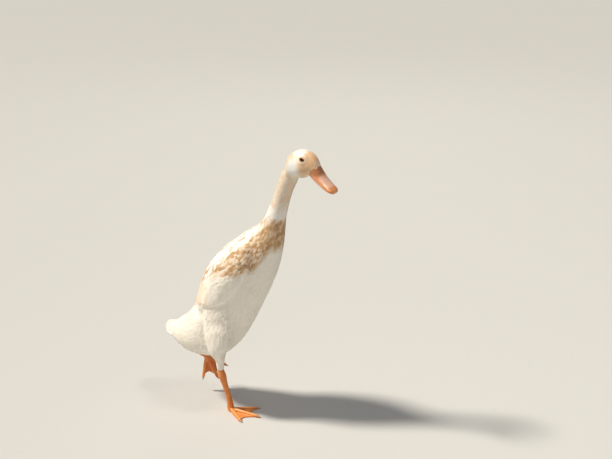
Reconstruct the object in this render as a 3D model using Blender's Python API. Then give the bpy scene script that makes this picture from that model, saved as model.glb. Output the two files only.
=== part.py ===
"""Indian runner duck, life size, in mid stride: the right foot carries it and the left foot is lifted.

Metres, +Z up. The duck heads along +X and its left side is +Y. Its middle plane is Y = 0 while it is
being built, and at the end the whole bird is moved so that its box stands centred on the origin.
The body is one smooth form, from tail to nape, parted with thin cuts into tail, trunk and neck.
"""

import math

import bmesh
import bpy
from mathutils import Matrix, Vector

MM = 0.001
GAP = 0.3 * MM  # left between two pieces that meet
BODY_SIDES = 28  # corners round the body
BODY_RINGS = 2  # rings for each stretch between two stations
TALL = 900 * MM  # larger than the bird, for cutters

# Driving dimensions, in millimetres
HEAD_PITCH = 37.0  # degrees that the bill points below level
BILL_LENGTH = 60.0
BILL_HALF_WIDTH = 15.0
EYE_RADIUS = 6.2
SHANK_RADIUS = 6.3
MIDDLE_TOE = 63.0
WEB_THICKNESS = 1.8

# Stations of the body in its middle plane: x, z, then how far the coat stands from that point
# towards the back, towards the belly and to each side.
BODY_STATIONS = {
    "tail_end": (-168, 152, 7.5, 8, 19),
    "tail_mid": (-152, 150, 21.5, 23.5, 29),
    "tail_root": (-129, 151, 35, 38, 38),
    "rump": (-102, 156, 46, 49, 46),
    "vent": (-75, 169, 54, 60, 51),
    "loin": (-49, 194, 52, 61, 53),
    "flank": (-29, 233, 55, 64, 55),
    "barrel": (-10, 275, 59, 67, 56),
    "chest": (14, 312, 60, 63, 54),
    "shoulder": (33, 336, 54, 56, 50),
    "crop": (51, 361, 46, 47, 43),
    "neck_foot": (66, 383, 36, 38, 35),
    "neck_low": (76, 399, 29, 30, 28),
    "neck_turn": (85, 419, 22, 23, 22),
    "neck_mid": (93, 444, 18, 18.5, 18),
    "neck_high": (102, 470, 16, 16.5, 16),
    "nape": (112, 497, 15.5, 16, 15.5),
    "throat": (123, 519, 18, 16, 15.5),
    "skull": (137, 539, 15.5, 12, 12),
}
TAIL_CUT = "rump"
NECK_CUT = "neck_foot"

# Sections of the head from its back to the bill: x and z of the top, x and z of the bottom, half width
HEAD_SECTIONS = (
    (120, 553, 119, 538.5, 7.5),
    (125, 562, 121, 527.5, 15),
    (135, 570, 127, 521.5, 20),
    (148, 575, 140, 520, 22.5),
    (162, 574.5, 154, 522, 22.5),
    (174.5, 569, 164, 526, 19),
    (183.5, 559.5, 169, 530.5, 15.2),
    (188.5, 550, 173, 534, 12.3),
)
EYE_CENTRE = (161, 14.6, 561.5)
BILL_ROOT = (176, 541)  # x and z of the seam between the mandibles at the face

# Share of the bill's length, then half width, height above the seam, depth below it
BILL_SECTIONS = (
    (-0.22, 0.84, 17.2, 12.0),
    (-0.04, 0.90, 16.6, 12.6),
    (0.10, 0.94, 14.4, 12.6),
    (0.26, 0.97, 11.2, 12.0),
    (0.45, 0.99, 8.2, 10.8),
    (0.65, 1.01, 6.3, 8.8),
    (0.82, 0.99, 5.4, 6.6),
    (0.93, 0.86, 4.7, 4.8),
    (1.00, 0.50, 3.4, 2.9),
)

# The folded wing on the body's side. Share of the way from neck_foot back to the vent, then the
# middle of the wing in degrees down from the back, half its breadth in degrees, and its thickness.
WING_SECTIONS = (
    (0.06, 78, 6, 3.0),
    (0.14, 78, 23, 8.0),
    (0.28, 76, 36, 11.0),
    (0.44, 73, 40, 12.0),
    (0.57, 69, 41, 11.5),
    (0.67, 62, 34, 9.0),
    (0.75, 52, 22, 6.5),
    (0.81, 44, 10, 4.0),
)
FLIGHT_SECTIONS = (
    (0.62, 32, 12, 5.0),
    (0.71, 29, 13, 5.5),
    (0.80, 24, 11, 5.5),
    (0.88, 19, 8, 5.0),
    (0.94, 15, 3.5, 4.0),
)

# The spread tail: share of its length from its root, half width, thickness
TAIL_FAN_LENGTH = 50.0
TAIL_FAN_SEAT = 34.0  # how far its root lies inside the tail
TAIL_FAN_BOW = 6.0
TAIL_FAN_SECTIONS = (
    (0.00, 26, 7.0),
    (0.25, 32, 5.5),
    (0.50, 34, 4.0),
    (0.72, 32, 3.0),
    (0.90, 23, 2.4),
    (1.00, 10, 2.0),
)

# Legs: centre x, y, z and half sizes along x and y of the feathered thigh, from hip to hock. The
# right one stands, and the left one is drawn back.
RIGHT_THIGH = (
    (-16, -26, 215, 28, 16),
    (-23, -35, 190, 31, 20),
    (-26, -37, 168, 30, 20),
    (-30, -37, 151, 25, 17),
    (-27.5, -34, 135, 13.5, 12),
    (-28, -30.5, 118, 8.6, 8.2),
    (-30.5, -27, 97, 6.8, 6.6),
)
LEFT_THIGH = (
    (-20, 26, 210, 30, 16),
    (-27, 36, 185, 28, 20),
    (-36, 40, 162, 22, 17),
    (-44, 40, 145, 15, 12.5),
    (-50, 38, 131, 9, 9),
)
RIGHT_SHANK = ((-30.5, -27, 98), (-28.5, -24, 83), (-26, -19, 62), (-24, -11, 36), (-22, -6.5, 9))
LEFT_SHANK = ((-51, 38, 131), (-58, 37.7, 122), (-77, 37.2, 110), (-97, 36.6, 98), (-114, 36.1, 88))
SHANK_SWELL = (1.05, 1.36, 0.98, 0.92, 1.12)  # shares of the radius at those points
SHANK_FLAT = 0.82  # width across as a share of the depth

# Toes of one foot: name, length as a share of the middle toe, degrees from the middle toe (towards
# the bird's middle is positive) and radius at the root
TOES = (
    ("inner", 0.84, 37.0, 3.8),
    ("middle", 1.00, 0.0, 4.2),
    ("outer", 0.83, -38.0, 4.0),
)
HIND_TOE = 15.0
KNUCKLE = (-0.9, 0.3, 5.5)  # where the toes meet the shank
KNUCKLE_RADIUS = 6.4
CLAW = 7.5
RIGHT_FOOT_PLACE = (-21.8, -6.5, 0)
RIGHT_FOOT_HEADING = 7.0
LEFT_FOOT_PLACE = (-118, 36, 84)
LEFT_FOOT_TURNS = ((-35, "Z"), (100, "Y"), (24, "Z"))  # degrees about these axes, the last one first
LEFT_FOOT_SPREAD = 0.8


def clear_scene():
    for old in list(bpy.data.objects):
        bpy.data.objects.remove(old)


def make_material(name, colour, roughness):
    made = bpy.data.materials.new(name)
    made.use_nodes = True
    shader = made.node_tree.nodes["Principled BSDF"]
    shader.inputs["Base Color"].default_value = (*colour, 1.0)
    shader.inputs["Roughness"].default_value = roughness
    shader.inputs["Metallic"].default_value = 0.0
    return made


def smooth_between(rows, step):
    """Rows of numbers read at step (0 at the first row) on a Catmull-Rom curve through them."""
    last = len(rows) - 1
    low = min(int(step), last - 1)
    t = step - low
    before, start, end, after = (rows[max(0, min(last, low + k))] for k in (-1, 0, 1, 2))
    return [
        0.5 * (2 * q + (r - p) * t + (2 * p - 5 * q + 4 * r - s) * t * t + (3 * q - p - 3 * r + s) * t ** 3)
        for p, q, r, s in zip(before, start, end, after)
    ]


def loft(name, rings, material):
    """A closed object from rings of points that all have the same number of corners."""
    mesh = bmesh.new()
    made = [[mesh.verts.new(p) for p in ring] for ring in rings]
    sides = len(made[0])
    for low, high in zip(made, made[1:]):
        for k in range(sides):
            following = (k + 1) % sides
            mesh.faces.new((low[k], low[following], high[following], high[k]))
    mesh.faces.new(made[0][::-1])
    mesh.faces.new(made[-1])
    bmesh.ops.recalc_face_normals(mesh, faces=mesh.faces)
    return finish(name, mesh, material)


def finish(name, mesh, material):
    data = bpy.data.meshes.new(name)
    mesh.to_mesh(data)
    mesh.free()
    data.shade_smooth()
    data.set_sharp_from_angle(angle=math.radians(50))
    data.materials.append(material)
    made = bpy.data.objects.new(name, data)
    bpy.context.scene.collection.objects.link(made)
    return made


def as_cutter(obj):
    obj.hide_render = True
    obj.display_type = "WIRE"
    return obj


def boolean(obj, other, operation="DIFFERENCE", solver="EXACT"):
    cut = obj.modifiers.new(operation.title() + "_" + other.name, "BOOLEAN")
    cut.operation = operation
    cut.solver = solver
    cut.object = other


def body_step(station):
    return list(BODY_STATIONS).index(station)


def body_section(step):
    """Middle, way along, way to the back, and the three half sizes of the body at a step."""
    rows = list(BODY_STATIONS.values())
    x, z, back, belly, side = smooth_between(rows, step)
    nudge = 0.02
    x0, z0 = smooth_between(rows, max(0.0, step - nudge))[:2]
    x1, z1 = smooth_between(rows, min(len(rows) - 1.0, step + nudge))[:2]
    along = Vector((x1 - x0, 0, z1 - z0)).normalized()
    up = Vector((-along.z, 0, along.x))
    return Vector((x, 0, z)) * MM, along, up, (back * MM, belly * MM, side * MM)


def body_point(step, degrees_from_back, stand_off=0.0):
    """A point of the body's surface, on its left side for positive degrees."""
    middle, _, up, (back, belly, side) = body_section(step)
    angle = math.radians(degrees_from_back)
    reach = (back if math.cos(angle) > 0 else belly) + stand_off
    return middle + up * reach * math.cos(angle) + Vector((0, 1, 0)) * (side + stand_off) * math.sin(angle)


def body_piece(name, first, last, material, stand_off=0.0):
    """The stretch of body between two steps."""
    count = max(2, round((last - first) * BODY_RINGS) + 1)
    rings = []
    for k in range(count):
        step = first + (last - first) * k / (count - 1)
        rings.append([body_point(step, 360 * s / BODY_SIDES, stand_off) for s in range(BODY_SIDES)])
    return loft(name, rings, material)


def past_cut(step, towards):
    """The step that lies one gap beyond a cut, towards a higher (1) or lower (-1) step."""
    here = body_section(step)[0]
    there = body_section(step + 0.1 * towards)[0]
    return step + 0.1 * towards * GAP / (there - here).length


def make_body(flesh):
    tail_cut, neck_cut = body_step(TAIL_CUT), body_step(NECK_CUT)
    last = len(BODY_STATIONS) - 1
    tail = body_piece("tail", 0, past_cut(tail_cut, -1), flesh)
    trunk = body_piece("trunk", tail_cut, neck_cut, flesh)
    neck = body_piece("neck", past_cut(neck_cut, 1), last, flesh)
    return tail, trunk, neck


def oval_ring(middle, up, side, over, under, across, sides):
    ring = []
    for s in range(sides):
        angle = 2 * math.pi * s / sides
        reach = over if math.cos(angle) > 0 else under
        ring.append(middle + up * reach * math.cos(angle) + side * across * math.sin(angle))
    return ring


def head_rings(stand_off):
    """Rings round the head. With a stand-off they lie outside it, its two ends included."""
    rings = []
    last = len(HEAD_SECTIONS) - 1
    count = last * 2 + 1
    for k in range(count):
        xt, zt, xb, zb, side = smooth_between(HEAD_SECTIONS, last * k / (count - 1))
        ends = stand_off / MM * ((k == count - 1) - (k == 0))
        xt, xb = xt + ends, xb + ends
        top, bottom = Vector((xt, 0, zt)) * MM, Vector((xb, 0, zb)) * MM
        up = (top - bottom).normalized()
        middle = bottom.lerp(top, 0.47)
        over, under = (top - middle).length + stand_off, (middle - bottom).length + stand_off
        rings.append(oval_ring(middle, up, Vector((0, 1, 0)), over, under, side * MM + stand_off, 24))
    return rings


def ball(name, centre, radius, material, fine=3):
    mesh = bmesh.new()
    bmesh.ops.create_icosphere(mesh, subdivisions=fine, radius=radius, matrix=Matrix.Translation(centre))
    return finish(name, mesh, material)


def make_head(flesh, horn, eye_material):
    head = loft("head", head_rings(0.0), flesh)
    sleeve = as_cutter(loft("head_sleeve", head_rings(GAP), flesh))
    eyes = []
    for word, side in (("left", 1), ("right", -1)):
        centre = Vector((EYE_CENTRE[0], EYE_CENTRE[1] * side, EYE_CENTRE[2])) * MM
        eyes.append(ball("eye_" + word, centre, EYE_RADIUS * MM, eye_material, 2))
        socket = as_cutter(ball("socket_" + word, centre, EYE_RADIUS * MM + GAP, flesh, 2))
        boolean(head, socket)
    upper, lower = make_bill(horn)
    for piece in (upper, lower):
        boolean(piece, sleeve)
    return head, sleeve, eyes, [upper, lower]


def bill_frame():
    pitch = math.radians(HEAD_PITCH)
    along = Vector((math.cos(pitch), 0, -math.sin(pitch)))
    up = Vector((math.sin(pitch), 0, math.cos(pitch)))
    return Vector((BILL_ROOT[0], 0, BILL_ROOT[1])) * MM, along, up


def make_bill(horn):
    """Both mandibles, each rounded on its outer side and flat along the seam, which dips in the middle."""
    root, along, up = bill_frame()
    last = len(BILL_SECTIONS) - 1
    count, half = last * 2 + 1, 8
    upper, lower = [], []
    for k in range(count):
        share, wide, over, under = smooth_between(BILL_SECTIONS, last * k / (count - 1))
        dip = -1.6 * math.sin(math.pi * max(0.0, min(1.0, share)))
        seam = root + along * share * BILL_LENGTH * MM + up * dip * MM
        rings = []
        for reach, turn in ((over * MM, 1), (-under * MM, -1)):
            arc = [math.pi * s / half for s in range(half + 1)]
            edge = seam + up * GAP * 0.5 * turn
            inset = 1.0 if turn > 0 else 0.86
            rings.append([
                edge + Vector((0, 1, 0)) * wide * BILL_HALF_WIDTH * MM * inset * math.cos(a)
                + up * reach * math.sin(a) ** 0.85
                for a in arc
            ])
        upper.append(rings[0])
        lower.append(rings[1][::-1])
    return loft("bill_upper", upper, horn), loft("bill_lower", lower, horn)


def wing_shell(name, sections, side, material, inner):
    """A lens of feathers on the body's side. It reaches inner metres into the body, and is cut later."""
    first, span = body_step(NECK_CUT), body_step(NECK_CUT) - body_step("vent")
    rings, across = [], 9
    last = len(sections) - 1
    count = last * 2 + 1
    for k in range(count):
        share, middle, breadth, thick = smooth_between(sections, last * k / (count - 1))
        step = first - share * span
        outer, under = [], []
        for c in range(across):
            u = -1 + 2 * c / (across - 1)
            lens = (1 - 0.86 * u * u) ** 0.5
            degrees = side * (middle + u * breadth)
            outer.append(body_point(step, degrees, thick * MM * lens))
            under.append(body_point(step, degrees, -inner))
        rings.append(outer + under[::-1])
    return loft(name, rings, material)


def make_wings(flesh, sleeve):
    wings = []
    for word, side in (("left", 1), ("right", -1)):
        wing = wing_shell("wing_" + word, WING_SECTIONS, side, flesh, 3 * MM)
        boolean(wing, sleeve)
        shell = as_cutter(wing_shell("wing_sleeve_" + word, [
            (s, m, b + 0.5, t + 0.3) for s, m, b, t in WING_SECTIONS
        ], side, flesh, 4 * MM))
        flight = wing_shell("flight_" + word, FLIGHT_SECTIONS, side, flesh, 3 * MM)
        boolean(flight, sleeve)
        boolean(flight, shell)
        wings.append((wing, shell, flight))
    return wings


def tube(name, points, radii, material, sides=12, flat=1.0):
    """A tube along a smooth curve through the points, with a radius at each of them."""
    rows = [(*p, r) for p, r in zip(points, radii)]
    last = len(rows) - 1
    rings, count = [], last * 2 + 1
    for k in range(count):
        step = last * k / (count - 1)
        x, y, z, radius = smooth_between(rows, step)
        x0, y0, z0 = smooth_between(rows, max(0, step - 0.05))[:3]
        x1, y1, z1 = smooth_between(rows, min(last, step + 0.05))[:3]
        along = Vector((x1 - x0, y1 - y0, z1 - z0)).normalized()
        side = Vector((0, 1, 0)) - along * along.y
        if side.length < 0.3:
            side = Vector((1, 0, 0)) - along * along.x
        side.normalize()
        rings.append(oval_ring(Vector((x, y, z)), side.cross(along), side, radius, radius, radius * flat, sides))
    return loft(name, rings, material)


def thigh_rings(sections, stand_off):
    rings, last = [], len(sections) - 1
    count = last * 2 + 1
    for k in range(count):
        x, y, z, deep, wide = smooth_between(sections, last * k / (count - 1))
        x0, y0, z0 = smooth_between(sections, max(0, last * k / (count - 1) - 0.1))[:3]
        x1, y1, z1 = smooth_between(sections, min(last, last * k / (count - 1) + 0.1))[:3]
        along = Vector((x1 - x0, y1 - y0, z1 - z0)).normalized()
        side = (Vector((0, 1, 0)) - along * along.y).normalized()
        front = side.cross(along)
        deep, wide = deep * MM + stand_off, wide * MM + stand_off
        rings.append(oval_ring(Vector((x, y, z)) * MM, front, side, deep, deep, wide, 20))
    return rings


def make_thigh(word, sections, flesh, cutters):
    thigh = loft("thigh_" + word, thigh_rings(sections, 0.0), flesh)
    for cutter in cutters:
        boolean(thigh, cutter)
    return thigh


def make_shank(word, points, thigh_sections, leg, body_sleeve):
    """Hock and shank, swollen at the hock and at the foot."""
    radii = [SHANK_RADIUS * MM * k for k in SHANK_SWELL]
    shank = tube("shank_" + word, [Vector(p) * MM for p in points], radii, leg, 14, SHANK_FLAT)
    sleeve = as_cutter(loft("thigh_sleeve_" + word, thigh_rings(thigh_sections, GAP), leg))
    boolean(shank, sleeve)
    boolean(shank, body_sleeve)
    return shank


def toe_way(turn):
    return Vector((math.cos(math.radians(turn)), math.sin(math.radians(turn)), 0))


def toe_points(length, turn, radius, droop):
    """Middle line of a toe in the foot's own frame, root at the origin, sole near z = 0."""
    way = toe_way(turn)
    line = []
    for share, lift in ((0.0, 1.6), (0.18, 1.15), (0.42, 0.95), (0.68, 0.85), (0.88, 0.72), (1.0, 0.6)):
        sink = droop * math.sin(math.pi * 0.5 * share)
        line.append((way * length * share + Vector((0, 0, radius * lift - sink * length))) * MM)
    return line


def web_outline(first, second):
    """Corners of the web between two toes, with its free edge drawn in."""
    (_, share_a, turn_a, _), (_, share_b, turn_b, _) = first, second
    steps = 8
    corners = [Vector((0, 0, 0))]
    for k in range(steps + 1):
        t = k / steps
        turn = turn_a + (turn_b - turn_a) * t
        reach = MIDDLE_TOE * (share_a + (share_b - share_a) * t) * 0.90
        reach *= 1 - 0.20 * math.sin(math.pi * t) ** 1.2
        corners.append(toe_way(turn) * reach * MM)
    return corners


def slab(name, corners, low, high, material):
    mesh = bmesh.new()
    floor = [mesh.verts.new(p + Vector((0, 0, low))) for p in corners]
    roof = [mesh.verts.new(p + Vector((0, 0, high))) for p in corners]
    mesh.faces.new(floor[::-1])
    mesh.faces.new(roof)
    for k in range(len(corners)):
        following = (k + 1) % len(corners)
        mesh.faces.new((floor[k], floor[following], roof[following], roof[k]))
    bmesh.ops.recalc_face_normals(mesh, faces=mesh.faces)
    return finish(name, mesh, material)


def floor_cutter(material):
    corners = [Vector((x, y, 0)) * TALL for x, y in ((-1, -1), (1, -1), (1, 1), (-1, 1))]
    return as_cutter(slab("floor_cutter", corners, -40 * MM, 0.0, material))


def make_foot(word, side, place, spread, leg, horn, shank, floor=None):
    """Three webbed toes, a hind toe and four claws. side is 1 on the left, and place is the foot's matrix."""
    toes = [(n, share, turn * -side * spread, radius) for n, share, turn, radius in TOES]
    foot, pieces = None, []
    for name, share, turn, radius in toes:
        length = MIDDLE_TOE * share
        line = toe_points(length, turn, radius, 0.0)
        radii = [radius * MM * k for k in (1.25, 1.0, 0.98, 0.84, 0.78, 0.62)]
        toe = tube("toe_" + name + "_" + word, line, radii, leg, sides=9)
        pieces.append(toe)
        claw_line = [
            line[-1] + toe_way(turn) * (GAP + CLAW * MM * k) + Vector((0, 0, drop * MM))
            for k, drop in ((0.0, 0.1), (0.35, 0.3), (0.7, -0.2), (1.0, -1.3))
        ]
        claw = tube("claw_" + name + "_" + word, claw_line, [k * MM for k in (1.7, 1.5, 1.05, 0.4)], horn, 7)
        claw.matrix_world = place
        if floor:
            boolean(claw, floor)
    for first, second in zip(toes, toes[1:]):
        low, high = 0.3 * MM, (0.3 + WEB_THICKNESS) * MM
        pieces.append(slab("web_" + first[0] + "_" + word, web_outline(first, second), low, high, leg))
    knuckle = ball("knuckle_" + word, Vector(KNUCKLE) * MM, KNUCKLE_RADIUS * MM, leg, 2)
    pieces.append(knuckle)
    foot = pieces.pop(1)
    foot.name = "foot_" + word
    foot.matrix_world = place
    for piece in pieces:
        piece.matrix_world = place
        boolean(foot, as_cutter(piece), "UNION", "MANIFOLD")
    if floor:
        boolean(foot, floor)
    boolean(foot, shank)
    hind_way = toe_way(180 + 38 * side)
    start = Vector((0, 0, 8.2)) * MM + hind_way * 3.0 * MM
    hind_line = [start + hind_way * HIND_TOE * MM * k + Vector((0, 0, -drop * MM))
                 for k, drop in ((0.0, 0.0), (0.5, 2.4), (1.0, 5.6))]
    hind = tube("hind_toe_" + word, hind_line, [k * MM for k in (2.6, 2.4, 1.9)], leg, 10)
    hind.matrix_world = place
    sole = as_cutter(ball("knuckle_sleeve_" + word, Vector(KNUCKLE) * MM, KNUCKLE_RADIUS * MM + GAP, leg, 2))
    sole.matrix_world = place
    boolean(hind, sole)
    boolean(hind, shank)
    hind_claw_line = [hind_line[-1] + hind_way * (GAP + 5 * MM * k) + Vector((0, 0, -drop * MM))
                      for k, drop in ((0.0, 0.2), (0.5, 1.0), (1.0, 2.3))]
    hind_claw = tube("claw_hind_" + word, hind_claw_line, [k * MM for k in (1.5, 1.1, 0.4)], horn, 8)
    hind_claw.matrix_world = place
    if floor:
        boolean(hind_claw, floor)
    return foot


def foot_matrix(place, turns):
    matrix = Matrix.Translation(Vector(place) * MM)
    for degrees, axis in turns:
        matrix = matrix @ Matrix.Rotation(math.radians(degrees), 4, axis)
    return matrix


def make_shank_sleeve(word, points, leg):
    radii = [SHANK_RADIUS * MM * k + GAP for k in SHANK_SWELL]
    line = [Vector(p) * MM for p in points]
    return as_cutter(tube("shank_sleeve_" + word, line, radii, leg, 14, SHANK_FLAT + 0.01))


def make_tail_fan(flesh):
    """The spread tail feathers beyond the tail's coverts, a thin bowed plate with a rounded end."""
    middle, along, up, _ = body_section(0)
    root = middle + along * TAIL_FAN_SEAT * MM
    widest = max(half for _, half, _ in TAIL_FAN_SECTIONS)
    sides = 20
    rings = []
    for share, half, thick in TAIL_FAN_SECTIONS:
        centre = root - along * TAIL_FAN_LENGTH * MM * share
        ring = []
        for s in range(sides):
            angle = 2 * math.pi * s / sides
            across = half * math.sin(angle)
            bow = -TAIL_FAN_BOW * (across / widest) ** 2
            rise = thick * 0.5 * math.cos(angle) + bow
            ring.append(centre + (Vector((0, across, 0)) + up * rise) * MM)
        rings.append(ring)
    return loft("tail_fan", rings, flesh)


def stand_on_origin(nodes, everything):
    """Moves the whole bird so that its box is centred over the origin."""
    bpy.context.view_layer.update()
    graph = bpy.context.evaluated_depsgraph_get()
    low, high = Vector((9, 9, 9)), Vector((-9, -9, -9))
    for node in nodes:
        evaluated = node.evaluated_get(graph)
        mesh = evaluated.to_mesh()
        for vertex in mesh.vertices:
            place = evaluated.matrix_world @ vertex.co
            low = Vector(map(min, low, place))
            high = Vector(map(max, high, place))
        evaluated.to_mesh_clear()
    bird = bpy.data.objects.new("duck", None)
    bpy.context.scene.collection.objects.link(bird)
    for obj in everything:
        obj.parent = bird
    bird.location = (-(low.x + high.x) / 2, -(low.y + high.y) / 2, -low.z)


def main():
    clear_scene()
    flesh = make_material("plumage", (0.80, 0.74, 0.63), 0.75)
    horn = make_material("bill_horn", (0.76, 0.38, 0.20), 0.35)
    leg = make_material("leg_skin", (0.82, 0.30, 0.08), 0.5)
    claw = make_material("claw_horn", (0.62, 0.45, 0.30), 0.4)
    eye = make_material("eye", (0.05, 0.03, 0.02), 0.08)

    tail, trunk, neck = make_body(flesh)
    last = len(BODY_STATIONS) - 1
    body_sleeve = as_cutter(body_piece("body_sleeve", 0, last, flesh, GAP))
    head, head_sleeve, _, _ = make_head(flesh, horn, eye)
    boolean(neck, head_sleeve)
    fan = make_tail_fan(flesh)
    boolean(fan, body_sleeve)
    wings = make_wings(flesh, body_sleeve)
    right_cutters = [body_sleeve, wings[1][1]]
    left_cutters = [body_sleeve, wings[0][1]]
    make_thigh("right", RIGHT_THIGH, flesh, right_cutters)
    make_thigh("left", LEFT_THIGH, flesh, left_cutters)
    make_shank("right", RIGHT_SHANK, RIGHT_THIGH, leg, body_sleeve)
    make_shank("left", LEFT_SHANK, LEFT_THIGH, leg, body_sleeve)
    floor = floor_cutter(leg)
    right_place = foot_matrix(RIGHT_FOOT_PLACE, ((RIGHT_FOOT_HEADING, "Z"),))
    left_place = foot_matrix(LEFT_FOOT_PLACE, LEFT_FOOT_TURNS)
    right_sleeve = make_shank_sleeve("right", RIGHT_SHANK, leg)
    left_sleeve = make_shank_sleeve("left", LEFT_SHANK, leg)
    make_foot("right", -1, right_place, 1.0, leg, claw, right_sleeve, floor)
    make_foot("left", 1, left_place, LEFT_FOOT_SPREAD, leg, claw, left_sleeve)
    everything = [o for o in bpy.context.scene.collection.objects if o.type == "MESH"]
    stand_on_origin([o for o in everything if not o.hide_render], everything)


main()
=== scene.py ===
import math

import bmesh
import bpy
import numpy as np
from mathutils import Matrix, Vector, kdtree, noise
from mathutils.bvhtree import BVHTree


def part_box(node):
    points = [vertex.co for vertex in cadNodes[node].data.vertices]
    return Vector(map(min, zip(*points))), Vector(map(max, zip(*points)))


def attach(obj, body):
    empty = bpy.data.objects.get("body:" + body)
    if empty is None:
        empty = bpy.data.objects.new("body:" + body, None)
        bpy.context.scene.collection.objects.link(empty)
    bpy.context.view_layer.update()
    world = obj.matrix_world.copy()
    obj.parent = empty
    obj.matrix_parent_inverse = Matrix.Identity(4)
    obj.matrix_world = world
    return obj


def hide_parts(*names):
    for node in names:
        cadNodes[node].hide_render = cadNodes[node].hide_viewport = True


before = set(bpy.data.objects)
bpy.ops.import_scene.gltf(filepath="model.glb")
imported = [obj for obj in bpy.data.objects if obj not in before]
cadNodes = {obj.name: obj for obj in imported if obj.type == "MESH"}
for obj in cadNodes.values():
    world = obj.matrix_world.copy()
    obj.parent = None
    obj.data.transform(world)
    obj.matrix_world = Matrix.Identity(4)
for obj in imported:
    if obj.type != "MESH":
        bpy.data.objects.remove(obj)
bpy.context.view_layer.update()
millimetre = 0.001
middleY = (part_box("eye_left")[0].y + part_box("eye_right")[1].y) / 2  # the bird's middle plane
sides = {"right": -1, "left": 1}


# small helpers
def srgb(red, green, blue):
    # a colour as a screen shows it, to the linear values that a shader takes
    def one(value):
        value /= 255
        return value / 12.92 if value <= 0.04045 else ((value + 0.055) / 1.055) ** 2.4

    return (one(red), one(green), one(blue))


def smoothStep(value, low, high):
    share = np.clip((value - low) / (high - low), 0, 1)
    return share * share * (3 - 2 * share)


def unit(vectors):
    return vectors / np.maximum(np.linalg.norm(vectors, axis=-1, keepdims=True), 1e-9)


def blended(first, second, share):
    return np.array(first) * (1 - share) + np.array(second) * share


def alongSurface(vectors, normals):
    # the vectors without their part across the surface
    return vectors - normals * (vectors * normals).sum(axis=1, keepdims=True)


def meshArrays(mesh):
    points = np.empty(len(mesh.vertices) * 3)
    mesh.vertices.foreach_get("co", points)
    normals = np.empty(len(mesh.vertices) * 3)
    mesh.vertices.foreach_get("normal", normals)
    return points.reshape(-1, 3), normals.reshape(-1, 3)


def setPoints(mesh, points):
    mesh.vertices.foreach_set("co", points.astype(np.float32).ravel())
    mesh.update()


def newObject(name, mesh):
    obj = bpy.data.objects.new(name, mesh)
    bpy.context.scene.collection.objects.link(obj)
    return obj


def applied(obj):
    # the object's mesh with its modifiers taken in
    graph = bpy.context.evaluated_depsgraph_get()
    mesh = bpy.data.meshes.new_from_object(obj.evaluated_get(graph))
    obj.modifiers.clear()
    old = obj.data
    obj.data = mesh
    bpy.data.meshes.remove(old)
    return mesh


def fused(name, nodes, swell, voxel, smoothing):
    # the named solids swollen until they meet, and remeshed as one closed skin
    shell = bmesh.new()
    for node in nodes:
        part = cadNodes[node].data.copy()
        points, normals = meshArrays(part)
        setPoints(part, points + normals * swell)
        shell.from_mesh(part)
        bpy.data.meshes.remove(part)
    mesh = bpy.data.meshes.new(name)
    shell.to_mesh(mesh)
    shell.free()
    obj = newObject(name, mesh)
    remesh = obj.modifiers.new("one skin", "REMESH")
    remesh.mode = "VOXEL"
    remesh.voxel_size = voxel
    if smoothing:
        smooth = obj.modifiers.new("smooth", "SMOOTH")
        smooth.factor = 0.5
        smooth.iterations = smoothing
    applied(obj)
    obj.data.shade_smooth()
    return obj


def neighbourMean(mesh):
    # a function that averages a value over each vertex's neighbours
    edges = np.empty(len(mesh.edges) * 2, np.int64)
    mesh.edges.foreach_get("vertices", edges)
    a, b = edges.reshape(-1, 2).T
    count = len(mesh.vertices)
    share = np.bincount(a, minlength=count) + np.bincount(b, minlength=count)

    def mean(values):
        total = np.empty_like(values)
        for column in range(values.shape[1]):
            own = values[:, column]
            total[:, column] = np.bincount(a, own[b], count) + np.bincount(b, own[a], count)
        return total / np.maximum(share, 1)[:, None]

    return mean


def smoothed(values, mean, soft, times):
    # each vertex drawn towards its neighbours by the share `soft`
    for _ in range(times):
        values = values * (1 - soft) + mean(values) * soft
    return values


def treeOf(mesh):
    points = [vertex.co.copy() for vertex in mesh.vertices]
    return BVHTree.FromPolygons(points, [tuple(face.vertices) for face in mesh.polygons])


def nodeTree(node):
    return treeOf(cadNodes[node].data)


def distances(tree, points, most=1.0):
    found = np.full(len(points), most)
    for i, point in enumerate(points):
        hit = tree.find_nearest(point, most)
        if hit[0] is not None:
            found[i] = hit[3]
    return found


def distanceTo(points, *nodes, most=1.0):
    # distance of each point from the nearest of these solids
    return np.min([distances(nodeTree(node), points, most) for node in nodes], axis=0)


def setColours(mesh, name, colours):
    layer = mesh.color_attributes.new(name, "FLOAT_COLOR", "POINT")
    full = np.ones((len(colours), 4), np.float32)
    full[:, :3] = colours
    layer.data.foreach_set("color", full.ravel())


def setVectors(mesh, name, vectors):
    layer = mesh.attributes.new(name, "FLOAT_VECTOR", "POINT")
    layer.data.foreach_set("vector", vectors.astype(np.float32).ravel())


def waves(points, scale, seed):
    # smooth noise, about -1 to 1, whose lumps are about `scale` metres across
    shift = Vector((seed * 17.3, seed * 5.1, seed * 9.7))
    return np.array([noise.noise(Vector(p) / scale + shift) for p in points])


def patchDistance(points, place, radii):
    # distance from a patch's middle in its own radii, equal on both sides of the bird
    mirrored = np.stack([points[:, 0], np.abs(points[:, 1] - middleY), points[:, 2]], axis=1)
    away = (mirrored - np.array(place)) / np.array(radii)
    return np.sqrt(away[:, 0] ** 2 + away[:, 1] ** 2 + away[:, 2] ** 2)


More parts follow.
